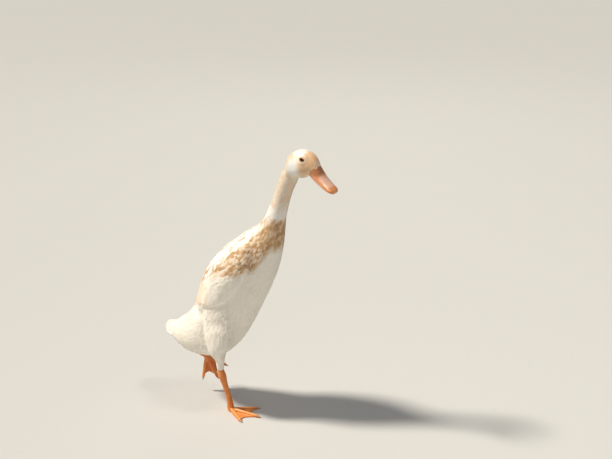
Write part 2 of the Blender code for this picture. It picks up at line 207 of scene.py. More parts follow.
# camera, floor and lights
viewLook = {
    "place": (1.6596, -2.1625, 1.3370),
    "down": 19.127,  # degrees below level
    "turn": 35.217,
    "lens": 88.235,
}
studioLook = {
    "floor": srgb(203, 203, 201),
    "floorRadius": 30.0,
    "world": srgb(238, 241, 246),
    "worldStrength": 0.16,
    # way to it, strength, its width in degrees, colour
    "sun": ((-0.46, -0.36, 0.78), 4.0, 9.0, srgb(255, 247, 233)),
    # name: place, size, watts, colour
    "lamps": {
        "fill": ((2.2, -2.4, 1.6), 2.4, 5, srgb(240, 243, 255)),
        "top": ((0.99, -0.05, 2.36), 0.34, 9, srgb(255, 250, 242)),
        "rim": ((-1.2, 2.2, 1.8), 1.6, 6, srgb(255, 252, 246)),
    },
    "aim": (-0.02, middleY, 0.33),
    "floorGrain": (0.5, 0.49, 0.47, 1),
}


def setCamera():
    camera = bpy.data.cameras.new("photo_view")
    camera.lens = viewLook["lens"]
    camera.sensor_width = 36
    camera.clip_start = 0.1
    camera.clip_end = 60
    obj = bpy.data.objects.new("photo_view", camera)
    obj.location = viewLook["place"]
    obj.rotation_euler = (math.pi / 2 - math.radians(viewLook["down"]), 0, math.radians(viewLook["turn"]))
    bpy.context.scene.collection.objects.link(obj)
    bpy.context.scene.camera = obj


def setStudio():
    scene = bpy.context.scene
    world = bpy.data.worlds.new("studio_air")
    world.use_nodes = True
    air = world.node_tree.nodes["Background"]
    air.inputs["Color"].default_value = (*studioLook["world"], 1)
    air.inputs["Strength"].default_value = studioLook["worldStrength"]
    scene.world = world
    scene.view_settings.view_transform = "Standard"
    for name, (place, size, watts, colour) in studioLook["lamps"].items():
        lamp = bpy.data.lights.new("lamp_" + name, "AREA")
        lamp.shape = "DISK"
        lamp.size = size
        lamp.energy = watts
        lamp.color = colour
        obj = bpy.data.objects.new("lamp_" + name, lamp)
        obj.location = place
        aim = Vector(studioLook["aim"]) - Vector(place)
        obj.rotation_euler = aim.to_track_quat("-Z", "Y").to_euler()
        scene.collection.objects.link(obj)
    way, strength, wide, colour = studioLook["sun"]
    lamp = bpy.data.lights.new("lamp_key", "SUN")
    lamp.energy = strength
    lamp.angle = math.radians(wide)
    lamp.color = colour
    obj = bpy.data.objects.new("lamp_key", lamp)
    obj.rotation_euler = (-Vector(way)).to_track_quat("-Z", "Y").to_euler()
    scene.collection.objects.link(obj)
    disc = bmesh.new()
    bmesh.ops.create_circle(disc, cap_ends=True, segments=96, radius=studioLook["floorRadius"])
    mesh = bpy.data.meshes.new("studio_floor")
    disc.to_mesh(mesh)
    disc.free()
    floor = newObject("studio_floor", mesh)
    mesh.materials.append(floorMaterial())


# shader building
class Shader:
    # short calls for the nodes of one material or one group
    def __init__(self, tree):
        self.tree = tree

    def node(self, kind, **settings):
        made = self.tree.nodes.new(kind)
        for key, value in settings.items():
            setattr(made, key, value)
        return made

    def join(self, source, target):
        self.tree.links.new(source, target)

    def put(self, socket, value):
        if hasattr(value, "is_output"):
            self.join(value, socket)
        else:
            socket.default_value = value

    def maths(self, operation, first, second=0.0, third=0.0):
        made = self.node("ShaderNodeMath", operation=operation)
        for socket, value in zip(made.inputs, (first, second, third)):
            self.put(socket, value)
        return made.outputs[0]

    def ramp(self, value, low, high, toLow=0.0, toHigh=1.0):
        made = self.node("ShaderNodeMapRange", interpolation_type="SMOOTHSTEP")
        numbers = {"Value": value, "From Min": low, "From Max": high, "To Min": toLow, "To Max": toHigh}
        for key, number in numbers.items():
            self.put(made.inputs[key], number)
        return made.outputs[0]

    def mix(self, share, first, second, blend="MIX"):
        made = self.node("ShaderNodeMix", data_type="RGBA", blend_type=blend)
        self.put(made.inputs[0], share)
        self.put(made.inputs[6], first)
        self.put(made.inputs[7], second)
        return made.outputs[2]

    def noise(self, place, scale, detail=2.0, rough=0.5):
        made = self.node("ShaderNodeTexNoise")
        self.put(made.inputs["Vector"], place)
        made.inputs["Scale"].default_value = scale
        made.inputs["Detail"].default_value = detail
        made.inputs["Roughness"].default_value = rough
        return made.outputs["Fac"]

    def cells(self, place, scale, feature="DISTANCE_TO_EDGE"):
        made = self.node("ShaderNodeTexVoronoi", feature=feature)
        self.put(made.inputs["Vector"], place)
        made.inputs["Scale"].default_value = scale
        return made.outputs["Distance"]

    def attribute(self, name, output="Vector"):
        return self.node("ShaderNodeAttribute", attribute_name=name).outputs[output]

    def group(self, tree, **values):
        made = self.node("ShaderNodeGroup")
        made.node_tree = tree
        for key, value in values.items():
            self.put(made.inputs[key], value)
        return made


def newGroup(name, inputs, outputs):
    tree = bpy.data.node_groups.new(name, "ShaderNodeTree")
    for label, kind in inputs.items():
        tree.interface.new_socket(label, in_out="INPUT", socket_type=kind)
    for label, kind in outputs.items():
        tree.interface.new_socket(label, in_out="OUTPUT", socket_type=kind)
    shader = Shader(tree)
    return tree, shader, shader.node("NodeGroupInput").outputs, shader.node("NodeGroupOutput").inputs


def newMaterial(name, roughness, **settings):
    material = bpy.data.materials.new(name)
    material.use_nodes = True
    surface = material.node_tree.nodes["Principled BSDF"]
    surface.inputs["Roughness"].default_value = roughness
    for key, value in settings.items():
        surface.inputs[key.replace("_", " ")].default_value = value
    return material, Shader(material.node_tree), surface.inputs


def bumped(shader, surface, height, strength, distance):
    bump = shader.node("ShaderNodeBump")
    bump.inputs["Strength"].default_value = strength
    bump.inputs["Distance"].default_value = distance
    shader.join(height, bump.inputs["Height"])
    shader.join(bump.outputs["Normal"], surface["Normal"])


def floorMaterial():
    material, shader, surface = newMaterial("floor_paint", 0.75)
    place = shader.node("ShaderNodeTexCoord").outputs["Object"]
    grain = shader.noise(place, 90, 3)
    pale = (*studioLook["floor"], 1)
    colour = shader.mix(shader.ramp(grain, 0.3, 0.7, 0.0, 0.05), pale, studioLook["floorGrain"])
    shader.join(colour, surface["Base Color"])
    bumped(shader, surface, grain, 0.05, 0.001)
    return material


# plumage: colours and markings
tones = {
    "white": srgb(251, 245, 233),
    "snow": srgb(254, 253, 250),
    "cream": srgb(248, 236, 216),
    "sand": srgb(243, 221, 188),
    "peach": srgb(242, 192, 140),
    "fawn": srgb(205, 158, 104),
    "deepFawn": srgb(160, 118, 72),
    "pink": srgb(246, 216, 200),
}
# soft patches over the base colour: place (x, y out from the middle plane, z), radii, colour, strength
markings = {
    "crown": ((0.130, 0.010, 0.573), (0.017, 0.016, 0.012), "snow", 0.95),
    "napeSpot": ((0.116, 0.013, 0.561), (0.009, 0.016, 0.008), "sand", 0.70),
    # the rear cheek's white patch is real plumage, and partly painted light: it is drawn larger to brighten
    # the shaded lower side of the head
    "rearCheek": ((0.1215, 0.022, 0.544), (0.018, 0.019, 0.021), "snow", 1.00),
    "frontCheek": ((0.152, 0.018, 0.545), (0.021, 0.017, 0.019), "peach", 0.60),
    "forehead": ((0.157, 0.005, 0.566), (0.016, 0.015, 0.015), "peach", 0.78),
    "lore": ((0.158, 0.016, 0.556), (0.012, 0.012, 0.010), "peach", 0.55),
    "billSeat": ((0.166, 0.003, 0.558), (0.005, 0.007, 0.004), "pink", 0.8),
    "eyeRing": ((0.141, 0.021, 0.5612), (0.0100, 0.010, 0.0085), "cream", 0.75),
    "throat": ((0.128, 0.006, 0.522), (0.020, 0.014, 0.010), "cream", 0.8),
    "neckBack": ((0.092, 0.010, 0.505), (0.022, 0.030, 0.022), "cream", 0.6),
    "neckBand": ((0.062, 0.010, 0.448), (0.050, 0.040, 0.018), "snow", 0.85),
    "breastSide": ((0.079, 0.012, 0.400), (0.026, 0.034, 0.036), "fawn", 0.55),
}
mottleLook = {
    # x of a point and the height down to which the spots reach there
    "edgeX": (-0.080, -0.056, -0.012, 0.021, 0.044, 0.058, 0.070, 0.090),
    "edgeZ": (0.290, 0.303, 0.314, 0.317, 0.331, 0.350, 0.370, 0.376),
    "backDrop": 0.050,  # how much lower the spots reach along the back
    "top": (0.418, 0.440),  # height over which they fade up the neck
    "spot": 0.0042,  # width of a spot
    "spotStretch": 1.9,  # times as long as wide
    "fleck": (0.0080, 0.0028),  # length and width of the flecks on the face
}


def plumageTone(points, chart, draw):
    # base colour of the feathers at these places, the same for skin and coat
    x, z = points[:, 0], points[:, 2]
    reach, turn, out = chart.T
    soft = waves(points, 0.012, 3) * 0.12 + draw * 0.10
    colour = np.tile(tones["white"], (len(points), 1))

    def lay(share, tone):
        nonlocal colour
        colour = blended(colour, tones[tone], np.clip(share, 0, 1)[:, None])

    lay(smoothStep(z, 0.425, 0.50) * 0.60, "cream")
    lay(smoothStep(z, 0.515, 0.545) * 0.85, "sand")
    for place, radii, tone, strength in markings.values():
        lay(strength * (1 - smoothStep(patchDistance(points, place, radii) + soft * 1.6, 0.40, 1.25)), tone)
    # the spots of mantle, shoulders and upper wings
    back = 1 - smoothStep(np.abs(turn), 0.5, 1.1)
    low = np.interp(x, mottleLook["edgeX"], mottleLook["edgeZ"]) - mottleLook["backDrop"] * back
    area = smoothStep(z - low + soft * 0.03, -0.006, 0.012)
    area = area * (1 - smoothStep(z + soft * 0.05, *mottleLook["top"]))
    along = reach / (mottleLook["spot"] * mottleLook["spotStretch"])
    across = turn * out / mottleLook["spot"]
    lumps = np.stack([along, across, np.sign(points[:, 1] - middleY)], axis=1)
    spots = 1.3 * waves(lumps, 1.0, 5) + 0.4 * waves(lumps, 0.45, 6) + draw * 0.80
    spots = spots + 0.25 * waves(points, 0.045, 9) + 0.30 * smoothStep(x, 0.035, 0.075)
    # they crowd along the back's middle and on the sides, with a pale band between
    turned = np.degrees(np.abs(turn)) + 40 * soft
    fore = smoothStep(x, 0.030, 0.070)
    side = np.maximum(smoothStep(turned, 56, 74), fore)
    crowd = np.maximum(0.60 * (1 - smoothStep(turned, 24, 38)), side)
    lay(area * (1 - side) * 0.8, "snow")
    lay(area * side * 0.50, "sand")
    lay(area * side * 0.20, "fawn")
    lay(area * smoothStep(spots, 0.30 - 0.50 * crowd, 0.75 - 0.45 * crowd) * 0.90, "fawn")
    lay(area * smoothStep(spots, 0.30, 0.85) * 0.60 * crowd, "deepFawn")
    # fine flecks on the face
    face = smoothStep(x, 0.128, 0.146) * smoothStep(z, 0.525, 0.540)
    long, wide = mottleLook["fleck"]
    grain = np.stack([reach / long, turn * out / wide, np.zeros(len(points))], axis=1)
    flecks = waves(grain, 1.0, 14) + 0.6 * draw
    lay(face * smoothStep(flecks, 0.0, 0.55) * 0.32, "fawn")
    # faint streaks down the neck
    neck = smoothStep(z, 0.43, 0.47) * (1 - smoothStep(z, 0.515, 0.535))
    lay(neck * smoothStep(spots, 0.10, 0.55) * 0.42, "peach")
    return colour


def plumageGroup():
    # feather colour with its barbs, shaft, pale edge, small changes and painted shade towards each root, and
    # the height of its barbs
    tree, shader, given, out = newGroup(
        "plumage",
        {
            "Tone": "NodeSocketColor",
            "Tuft": "NodeSocketVector",
            "Place": "NodeSocketVector",
            "Edge": "NodeSocketFloat",
            "Barbs": "NodeSocketFloat",
        },
        {"Colour": "NodeSocketColor", "Height": "NodeSocketFloat", "Roughness": "NodeSocketFloat"},
    )
    split = shader.node("ShaderNodeSeparateXYZ")
    shader.join(given["Tuft"], split.inputs[0])
    along, across, draw = split.outputs
    wide = shader.maths("ABSOLUTE", across)
    slant = shader.maths("MULTIPLY_ADD", wide, -0.55, along)
    shift = shader.maths("MULTIPLY", draw, 40.0)
    lines = shader.maths("SINE", shader.maths("MULTIPLY_ADD", slant, given["Barbs"], shift))
    fine = shader.noise(given["Place"], 900, 2)
    broad = shader.noise(given["Place"], 130, 2)
    shaft = shader.ramp(wide, 0.0, 0.10, 1.0, 0.0)
    colour = shader.mix(shader.ramp(broad, 0.35, 0.75, 0.0, 0.16), given["Tone"], (*tones["sand"], 1))
    edge = shader.maths("MULTIPLY", shader.ramp(wide, 0.45, 1.0), given["Edge"])
    colour = shader.mix(edge, colour, (*tones["white"], 1))
    dim = shader.maths("MULTIPLY_ADD", draw, 0.07, 0.95)
    # painted shade: each vane is made darker towards its root, where the feathers before it cover it
    dim = shader.maths("MULTIPLY", dim, shader.ramp(along, 0.0, 0.55, 0.90, 1.0))
    dim = shader.maths("MULTIPLY_ADD", lines, 0.018, dim)
    dim = shader.maths("MULTIPLY_ADD", shader.maths("SUBTRACT", fine, 0.5), 0.10, dim)
    dim = shader.maths("MULTIPLY_ADD", shaft, 0.02, dim)
    grey = shader.node("ShaderNodeCombineColor")
    for socket in grey.inputs[:3]:
        shader.join(dim, socket)
    shader.join(shader.mix(1.0, colour, grey.outputs[0], "MULTIPLY"), out["Colour"])
    height = shader.maths("MULTIPLY_ADD", lines, 0.3, shader.maths("MULTIPLY", shaft, 0.6))
    shader.join(shader.maths("MULTIPLY_ADD", fine, 0.8, height), out["Height"])
    shader.join(shader.ramp(fine, 0.3, 0.7, 0.62, 0.78), out["Roughness"])
    return tree


# finish of each kind of plumage: strength of the pale edge, lines of barbs, their height, sheen
plumageFinish = {
    "face": (0.05, 9.0, 0.00007, 0.30),
    "down": (0.05, 12.0, 0.0001, 0.25),
    "contour": (0.30, 60.0, 0.00006, 0.25),
    "fluff": (0.10, 34.0, 0.00005, 0.30),
    "covert": (0.25, 110.0, 0.00008, 0.20),
    "quill": (0.15, 200.0, 0.00008, 0.15),
    "skin": (0.0, 30.0, 0.0004, 0.2),
}


def plumageMaterial(kind, group):
    edge, barbs, bump, sheen = plumageFinish[kind]
    material, shader, surface = newMaterial(
        "plumage_" + kind, 0.7, Specular_IOR_Level=0.30, Sheen_Weight=sheen, Sheen_Roughness=0.5
    )
    place = shader.node("ShaderNodeTexCoord").outputs["Object"]
    tone, tuft = shader.attribute("tone", "Color"), shader.attribute("tuft")
    coat = shader.group(group, Tone=tone, Tuft=tuft, Place=place, Edge=edge, Barbs=barbs)
    shader.join(coat.outputs["Colour"], surface["Base Color"])
    shader.join(coat.outputs["Roughness"], surface["Roughness"])
    bumped(shader, surface, coat.outputs["Height"], 0.5, bump)
    return material


# the bird's line and chart
# middle line from the bill's root to the tail, x and z in the middle plane
middleLine = (
    (0.160, 0.540), (0.128, 0.547), (0.110, 0.533), (0.101, 0.517), (0.091, 0.497), (0.081, 0.470),
    (0.072, 0.444), (0.064, 0.419), (0.055, 0.399), (0.045, 0.383), (0.030, 0.361), (0.012, 0.336),
    (-0.007, 0.312), (-0.031, 0.275), (-0.050, 0.233), (-0.070, 0.194), (-0.096, 0.169),
    (-0.123, 0.156), (-0.150, 0.150), (-0.173, 0.148), (-0.189, 0.149), (-0.205, 0.147),
)
thighLines = {
    "right": (
        (-0.040, -0.040, 0.205),
        (-0.048, -0.043, 0.160),
        (-0.0495, -0.037, 0.118),
        (-0.0515, -0.0335, 0.096),
    ),
    "left": (
        (-0.041, 0.0197, 0.205),
        (-0.057, 0.0337, 0.162),
        (-0.066, 0.0337, 0.143),
        (-0.073, 0.031, 0.128),
    ),
}
wingTips = {"right": (-0.124, -0.024, 0.214), "left": (-0.124, 0.0113, 0.214)}
# growth of the plumage along the middle line: metres from the bill's root, then in millimetres
# the coat's depth, a tuft's length and the spacing of the tufts
growth = (
    (0.000, 0.8, 2.8, 0.80),
    (0.030, 1.1, 4.0, 0.88),
    (0.055, 1.7, 5.4, 1.08),
    (0.090, 2.2, 7.4, 1.25),
    (0.150, 2.9, 10.0, 1.85),
    (0.185, 3.6, 12.5, 2.60),
    (0.225, 4.2, 15.0, 3.10),
    (0.300, 4.6, 18.0, 3.60),
    (0.370, 5.0, 21.0, 3.80),
    (0.430, 4.8, 23.0, 3.90),
    (0.480, 4.3, 22.0, 3.70),
    (0.500, 3.8, 19.0, 3.20),
    (0.520, 3.0, 15.0, 2.80),
)


def middleCurve():
    # many points along the middle line, with their distance from the bill and their direction
    stations = np.array([(x, middleY, z) for x, z in middleLine])
    ends = np.vstack([2 * stations[0] - stations[1], stations, 2 * stations[-1] - stations[-2]])
    points = []
    for i in range(len(stations) - 1):
        p0, p1, p2, p3 = ends[i : i + 4]
        for t in np.linspace(0, 1, 14, endpoint=False):
            bend, twist = 2 * p0 - 5 * p1 + 4 * p2 - p3, 3 * p1 - p0 - 3 * p2 + p3
            points.append(0.5 * (2 * p1 + (p2 - p0) * t + bend * t**2 + twist * t**3))
    points = np.array(points + [stations[-1]])
    reach = np.concatenate([[0], np.cumsum(np.linalg.norm(np.diff(points, axis=0), axis=1))])
    return points, reach, unit(np.gradient(points, axis=0))


linePoints, lineReach, lineWay = middleCurve()
lineTree = kdtree.KDTree(len(linePoints))
for lineIndex, linePoint in enumerate(linePoints):
    lineTree.insert(linePoint, lineIndex)
lineTree.balance()


def chartOf(points):
    # for each point: metres from the bill along the middle line, angle round it from the back and
    # distance out, and the line's own direction there
    index = np.array([lineTree.find((p[0], middleY, p[2]))[1] for p in points])
    way = lineWay[index]
    away = points - linePoints[index]
    reach = lineReach[index] + (away * way).sum(axis=1)
    back = np.stack([way[:, 2], np.zeros(len(way)), -way[:, 0]], axis=1)
    angle = np.arctan2(away[:, 1], (away * back).sum(axis=1))
    return np.stack([reach, angle, np.linalg.norm(away, axis=1)], axis=1), way


# skin
skinLook = {
    "voxel": 2.2,  # this, swell, the fills and the free distances are in millimetres
    "swell": 0.45,
    "smoothing": 6,
    "fill": 6.0,  # grooves at wings and nape narrower than twice this are filled
    "thighFill": 8.0,  # the same between thighs and flanks
    "thighSoft": 90,  # how often the skin there is smoothed
    "headSoft": 4,  # how often the finer skin of the head is smoothed
    "lieSoft": 14,  # how often the lie of the coat is
    "depthSoft": 6,  # how often the coat's depth, length and spacing are
    "formVoxel": 3.5,  # of the forms that fill the grooves
    # metres off a solid over which its own plumage gives way to that beside it
    "wingEdge": (0.0008, 0.004),
    "thighEdge": (0.001, 0.004),
    "trunkEdge": (0.0005, 0.006),
    "toWingTip": 0.62,  # how far the wings' feathers point to the wing tip
    "lidsIn": 0.0022,  # how far the skin lies back under the lids' opening
    "eyeFree": 8.0,  # distance from the eye's centre where the coat has no depth
    "billFree": 4.0,
}
eyeCentre = {side: np.array((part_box("eye_" + side)[0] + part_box("eye_" + side)[1]) / 2) for side in sides}
# plumage of the limbs, metres: the least, and how much more towards the wings' rear and the thighs' top
limbGrowth = {
    "wing": {"length": (0.013, 0.019), "spacing": (0.0038, 0.0022), "depth": (0.0032, 0.0)},
    "thigh": {"length": (0.0055, 0.0125), "spacing": (0.0017, 0.0018), "depth": (0.0009, 0.0030)},
}


class Surface:
    # a mesh with its fields, read at any place near it
    def __init__(self, obj, flow):
        mesh = obj.data
        self.points, self.normals = meshArrays(mesh)
        self.flow = flow
        self.faces = np.array([tuple(p.vertices) for p in mesh.polygons])
        self.tree = BVHTree.FromPolygons([Vector(p) for p in self.points], self.faces.tolist())

    def at(self, points):
        spots, index = np.empty_like(points), np.empty(len(points), np.int64)
        for i, point in enumerate(points):
            hit = self.tree.find_nearest(point)
            spots[i], index[i] = hit[0], hit[2]
        corners = self.faces[index]
        near = 1 / (np.linalg.norm(self.points[corners] - spots[:, None], axis=2) + 2e-4)
        near = (near / near.sum(axis=1, keepdims=True))[:, :, None]
        normal = unit((self.normals[corners] * near).sum(axis=1))
        flow = unit(alongSurface((self.flow[corners] * near).sum(axis=1), normal))
        return spots, normal, flow, corners, near


def triangulated(obj):
    cut = bmesh.new()
    cut.from_mesh(obj.data)
    bmesh.ops.triangulate(cut, faces=cut.faces)
    cut.to_mesh(obj.data)
    cut.free()


def lieOfCoat(points, normals, mean, wingShare, thighShare, way):
    # which way the feathers point: down the bird's line, down the thighs and towards the wing tips
    flow = way.copy()
    for side, sign in sides.items():
        onSide = (np.sign(points[:, 1] - middleY) == sign)[:, None]
        toTip = unit(np.array(wingTips[side]) - points)
        flow = unit(blended(flow, toTip, wingShare[:, None] * skinLook["toWingTip"] * onSide))
        line = np.array(thighLines[side])
        flow = unit(blended(flow, unit(line[-1] - line[0]), thighShare[side][:, None]))
    for _ in range(skinLook["lieSoft"]):
        flow = alongSurface(flow, normals)
        flow = unit(unit(flow) + mean(flow))
    return unit(alongSurface(flow, normals))


def closedForm(name, nodes, fill):
    # the solids' outline with grooves narrower than twice `fill` filled
    form = fused(name, nodes, fill, skinLook["formVoxel"] * millimetre, 4)
    triangulated(form)
    points, normals = meshArrays(form.data)
    setPoints(form.data, points - normals * fill)
    return form


def filledGrooves(points, normals, mean, chart, nodes):
    # the grooves beside the wings, at the nape and round the thighs, filled where plumage closes them
    z = points[:, 2]
    wings = smoothStep(chart[:, 0], 0.175, 0.215) * smoothStep(z, 0.185, 0.205)
    thighs = np.zeros(len(points))
    for side in sides:
        line = np.array(thighLines[side])
        away = np.min([np.linalg.norm(points - spot, axis=1) for spot in line[:3]], axis=0)
        thighs = np.maximum(thighs, 1 - smoothStep(away, 0.030, 0.054))
    thighs = thighs * smoothStep(z, 0.118, 0.140)
    nape = 1 - smoothStep(chart[:, 0], 0.075, 0.100)
    nape = nape * smoothStep(chart[:, 0], 0.050, 0.062) * (1 - smoothStep(np.abs(chart[:, 1]), 1.4, 2.0))
    moved = points.copy()
    fills = ((skinLook["fill"], np.maximum(wings, nape)), (skinLook["thighFill"], thighs))
    for fill, share in fills:
        form = closedForm("filled_form", nodes, fill * millimetre)
        tree = treeOf(form.data)
        for i in np.flatnonzero(share > 0.001):
            hit = tree.find_nearest(moved[i])
            rise = (np.array(hit[0]) - moved[i]) @ normals[i]
            if rise > 0:
                moved[i] = moved[i] + normals[i] * rise * share[i]
        bpy.data.objects.remove(form)
    return smoothed(moved, mean, (thighs * 0.5)[:, None], skinLook["thighSoft"])


flankLook = {
    # height, x of the middle of the fold that hangs over the thigh, and half its breadth
    "right": (
        (0.120, -0.045, 0.016),
        (0.130, -0.041, 0.020),
        (0.150, -0.037, 0.028),
        (0.170, -0.038, 0.030),
        (0.240, -0.040, 0.031),
    ),
    "left": (
        (0.125, -0.068, 0.014),
        (0.150, -0.064, 0.018),
        (0.170, -0.055, 0.023),
        (0.200, -0.045, 0.028),
        (0.240, -0.040, 0.030),
    ),
    "rise": 4.2,  # millimetres that it stands out
    "cleft": 3.0,  # depth of the cleft behind it
    "foot": (0.116, 0.138),  # heights over which it starts and ends
    "top": (0.205, 0.268),
    "wingFold": (0.036, 0.014, 2.2),  # length, breadth and height (mm) of the soft folds of the wings
}


def foldedFlanks(points, normals, chart, wingShare):
    # the thigh's plumage hangs down from the flank as one column, and the wings have soft folds
    x, z = points[:, 0], points[:, 2]
    rise, edge = np.zeros(len(points)), np.zeros(len(points))
    for side, sign in sides.items():
        rows = np.array(flankLook[side])
        middle, half = np.interp(z, rows[:, 0], rows[:, 1]), np.interp(z, rows[:, 0], rows[:, 2])
        across = (x - middle) / half
        tall = smoothStep(z, *flankLook["foot"]) * (1 - smoothStep(z, *flankLook["top"]))
        tall = tall * smoothStep(normals[:, 1] * sign, 0.15, 0.60) * (1 - wingShare)
        ridge = 1 - smoothStep(np.abs(across), 0.70, 1.15)
        cleft = np.exp(-(((across + 1.12) / 0.16) ** 2)) * (1 - smoothStep(z, 0.185, 0.215))
        rise = rise + tall * (ridge * flankLook["rise"] - cleft * flankLook["cleft"])
        edge = np.maximum(edge, tall * np.exp(-(((across - 0.95) / 0.18) ** 2)))
    long, wide, high = flankLook["wingFold"]
    reach, turn, out = chart.T
    lumps = np.stack([reach / long, turn * out / wide, np.sign(points[:, 1] - middleY)], axis=1)
    behind = smoothStep(reach, 0.26, 0.31)
    rise = rise + waves(lumps, 1.0, 41) * high * wingShare * behind
    return points + normals * (rise * millimetre)[:, None], edge


def coatGrowth(points, chart, wingShare, thighShare):
    # the coat's depth and the length and spacing of its tufts, in metres
    table = np.array(growth)
    fields = {}
    for column, name in enumerate(("depth", "length", "spacing"), 1):
        fields[name] = np.interp(chart[:, 0], table[:, 0], table[:, column]) * millimetre
    # small coverts at the shoulder and long feathers behind; short ones towards the hock
    behind = smoothStep(chart[:, 0], 0.235, 0.345)
    hock = smoothStep(points[:, 2], 0.100, 0.165)
    for limb, share, far in (("wing", wingShare, behind), ("thigh", thighShare, hock)):
        for name, (least, more) in limbGrowth[limb].items():
            fields[name] = blended(fields[name], least + more * far, share)
    # the coat has no depth beside eyes and bill, and shorter, denser tufts
    for side in sides:
        away = np.linalg.norm(points - eyeCentre[side], axis=1)
        near = smoothStep(away, skinLook["eyeFree"] * millimetre, 0.0125)
        fields["depth"] = fields["depth"] * near
        fields["length"] = fields["length"] * (0.45 + 0.55 * near)
        fields["spacing"] = fields["spacing"] * (0.70 + 0.30 * near)
    billAway = distanceTo(points, "bill_upper", "bill_lower")
    near = smoothStep(billAway, 0.0005, skinLook["billFree"] * millimetre)
    fields["depth"] = fields["depth"] * near
    fields["length"] = fields["length"] * (0.55 + 0.45 * near)
    return np.stack(list(fields.values()), axis=1)


def makeSkin():
    nodes = ["trunk", "neck", "head", "tail", "wing_left", "wing_right", "thigh_left", "thigh_right"]
    swell, voxel = skinLook["swell"] * millimetre, skinLook["voxel"] * millimetre
    skin = fused("skin", nodes + ["eye_left", "eye_right"], swell, voxel, skinLook["smoothing"])
    triangulated(skin)
    mesh = skin.data
    finerHead(skin)
    points, normals = meshArrays(mesh)
    mean = neighbourMean(mesh)
    chart, way = chartOf(points)
    points = filledGrooves(points, normals, mean, chart, nodes)
    setPoints(mesh, points)
    points, normals = meshArrays(mesh)
    wingShare = 1 - smoothStep(distanceTo(points, "wing_right", "wing_left"), *skinLook["wingEdge"])
    offTrunk = smoothStep(distanceTo(points, "trunk", "tail"), *skinLook["trunkEdge"])
    thighShare = {}
    for side in sides:
        near = 1 - smoothStep(distanceTo(points, "thigh_" + side), *skinLook["thighEdge"])
        thighShare[side] = near * offTrunk
    thighAny = np.maximum(thighShare["left"], thighShare["right"])
    points, edge = foldedFlanks(points, normals, chart, wingShare)
    setPoints(mesh, points)
    points, normals = meshArrays(mesh)
    fields = smoothed(coatGrowth(points, chart, wingShare, thighAny), mean, 0.5, skinLook["depthSoft"])
    flow = lieOfCoat(points, normals, mean, wingShare, thighShare, way)
    inner = smoothed(points - normals * fields[:, :1], mean, 0.4, 3)
    lidTree = BVHTree.FromPolygons([Vector(p) for p in inner], [tuple(p.vertices) for p in mesh.polygons])
    setPoints(mesh, openedEyes(inner))
    setColours(mesh, "tone", plumageTone(points, chart, np.zeros(len(points))))
    setVectors(mesh, "tuft", np.tile((0.6, 0.5, 0.5), (len(points), 1)))
    surface = Surface(skin, flow)
    surface.depth, surface.length, surface.spacing = fields.T
    surface.wing, surface.thigh, surface.thighs = wingShare, thighAny, thighShare
    surface.edge = edge
    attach(skin, "root")
    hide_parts(*nodes)
    print("skin:", len(mesh.polygons), "triangles")
    return skin, surface, lidTree


def finerHead(skin):
    # smaller triangles on the head, and smaller ones again beside bill and eyes
    for around in ("head", "seams"):
        points, _ = meshArrays(skin.data)
        share = smoothStep(points[:, 0], 0.100, 0.112) * smoothStep(points[:, 2], 0.505, 0.515)
        if around == "seams":
            away = distanceTo(points, "bill_upper", "bill_lower", most=0.02)
            for side in sides:
                away = np.minimum(away, np.linalg.norm(points - eyeCentre[side], axis=1) - 0.006)
            share = share * (1 - smoothStep(away, 0.004, 0.007))
        cut = bmesh.new()
        cut.from_mesh(skin.data)
        edges = [edge for edge in cut.edges if min(share[vert.index] for vert in edge.verts) > 0.5]
        bmesh.ops.subdivide_edges(cut, edges=edges, cuts=1, use_grid_fill=True)
        bmesh.ops.triangulate(cut, faces=[face for face in cut.faces if len(face.verts) > 3])
        cut.to_mesh(skin.data)
        cut.free()
        points, _ = meshArrays(skin.data)
        mean = neighbourMean(skin.data)
        soft = smoothStep(points[:, 0], 0.104, 0.116) * smoothStep(points[:, 2], 0.508, 0.518) * 0.5
        setPoints(skin.data, smoothed(points, mean, soft[:, None], skinLook["headSoft"]))


def openedEyes(points):
    # the skin lies back under the opening of the lids
    length, height = (value * millimetre for value in eyeLook["opening"])
    for side in sides:
        axis, along, above = (np.array(way) for way in eyeFrame(side))
        away = points - eyeCentre[side]
        oval = np.hypot(away @ along / (length + 0.0008), away @ above / (height + 0.0008))
        bare = (1 - smoothStep(oval, 0.95, 1.35)) * (away @ axis > 0)
        points = points - (bare * skinLook["lidsIn"])[:, None] * axis
    return points


# coat
coatLook = {
    "seed": 21,
    "patch": 0.003,  # a tuft's place on the baking map
    "closest": 0.80,  # least distance between tufts, in spacings
    "borders": (0.062, 0.135, 0.27),  # metres from the bill where head, neck and mantle end
    "downyTurn": (1.15, 1.9),  # angle from the back, and metres from the bill, where down begins
    "downyReach": (0.27, 0.34),
    "capBare": 0.85,  # how straight back the skin faces where the tail's end is bare
    "billClear": 0.0006,
    "rootHigh": (0.42, -0.0002),  # height of roots and tips: share of the coat's depth, and metres
    "tipHigh": (0.95, 0.0003),
    "puff": (0.14, 0.04),  # soft lumps of fluff, and of the other plumage
    "steps": 5,  # points along a tuft, and how far it holds its own way
    "hold": 0.5,
    "eyeRoots": 1.3,  # bare ring of the lids, millimetres: free of roots and free of tips
    "eyeTips": 0.8,
    "yaw": 7.0,  # degrees that a tuft may turn off the lie
    "fluffYaw": 17.0,
    "tailFree": (0.478, 0.512),  # metres from the bill over which the tips stop following the skin
    "tailBack": (0.556, 0.578),  # the same for roots that point straight back
    "edgeLift": 5.5,  # how far tufts at the fore edge of the right thigh stand out, millimetres
}
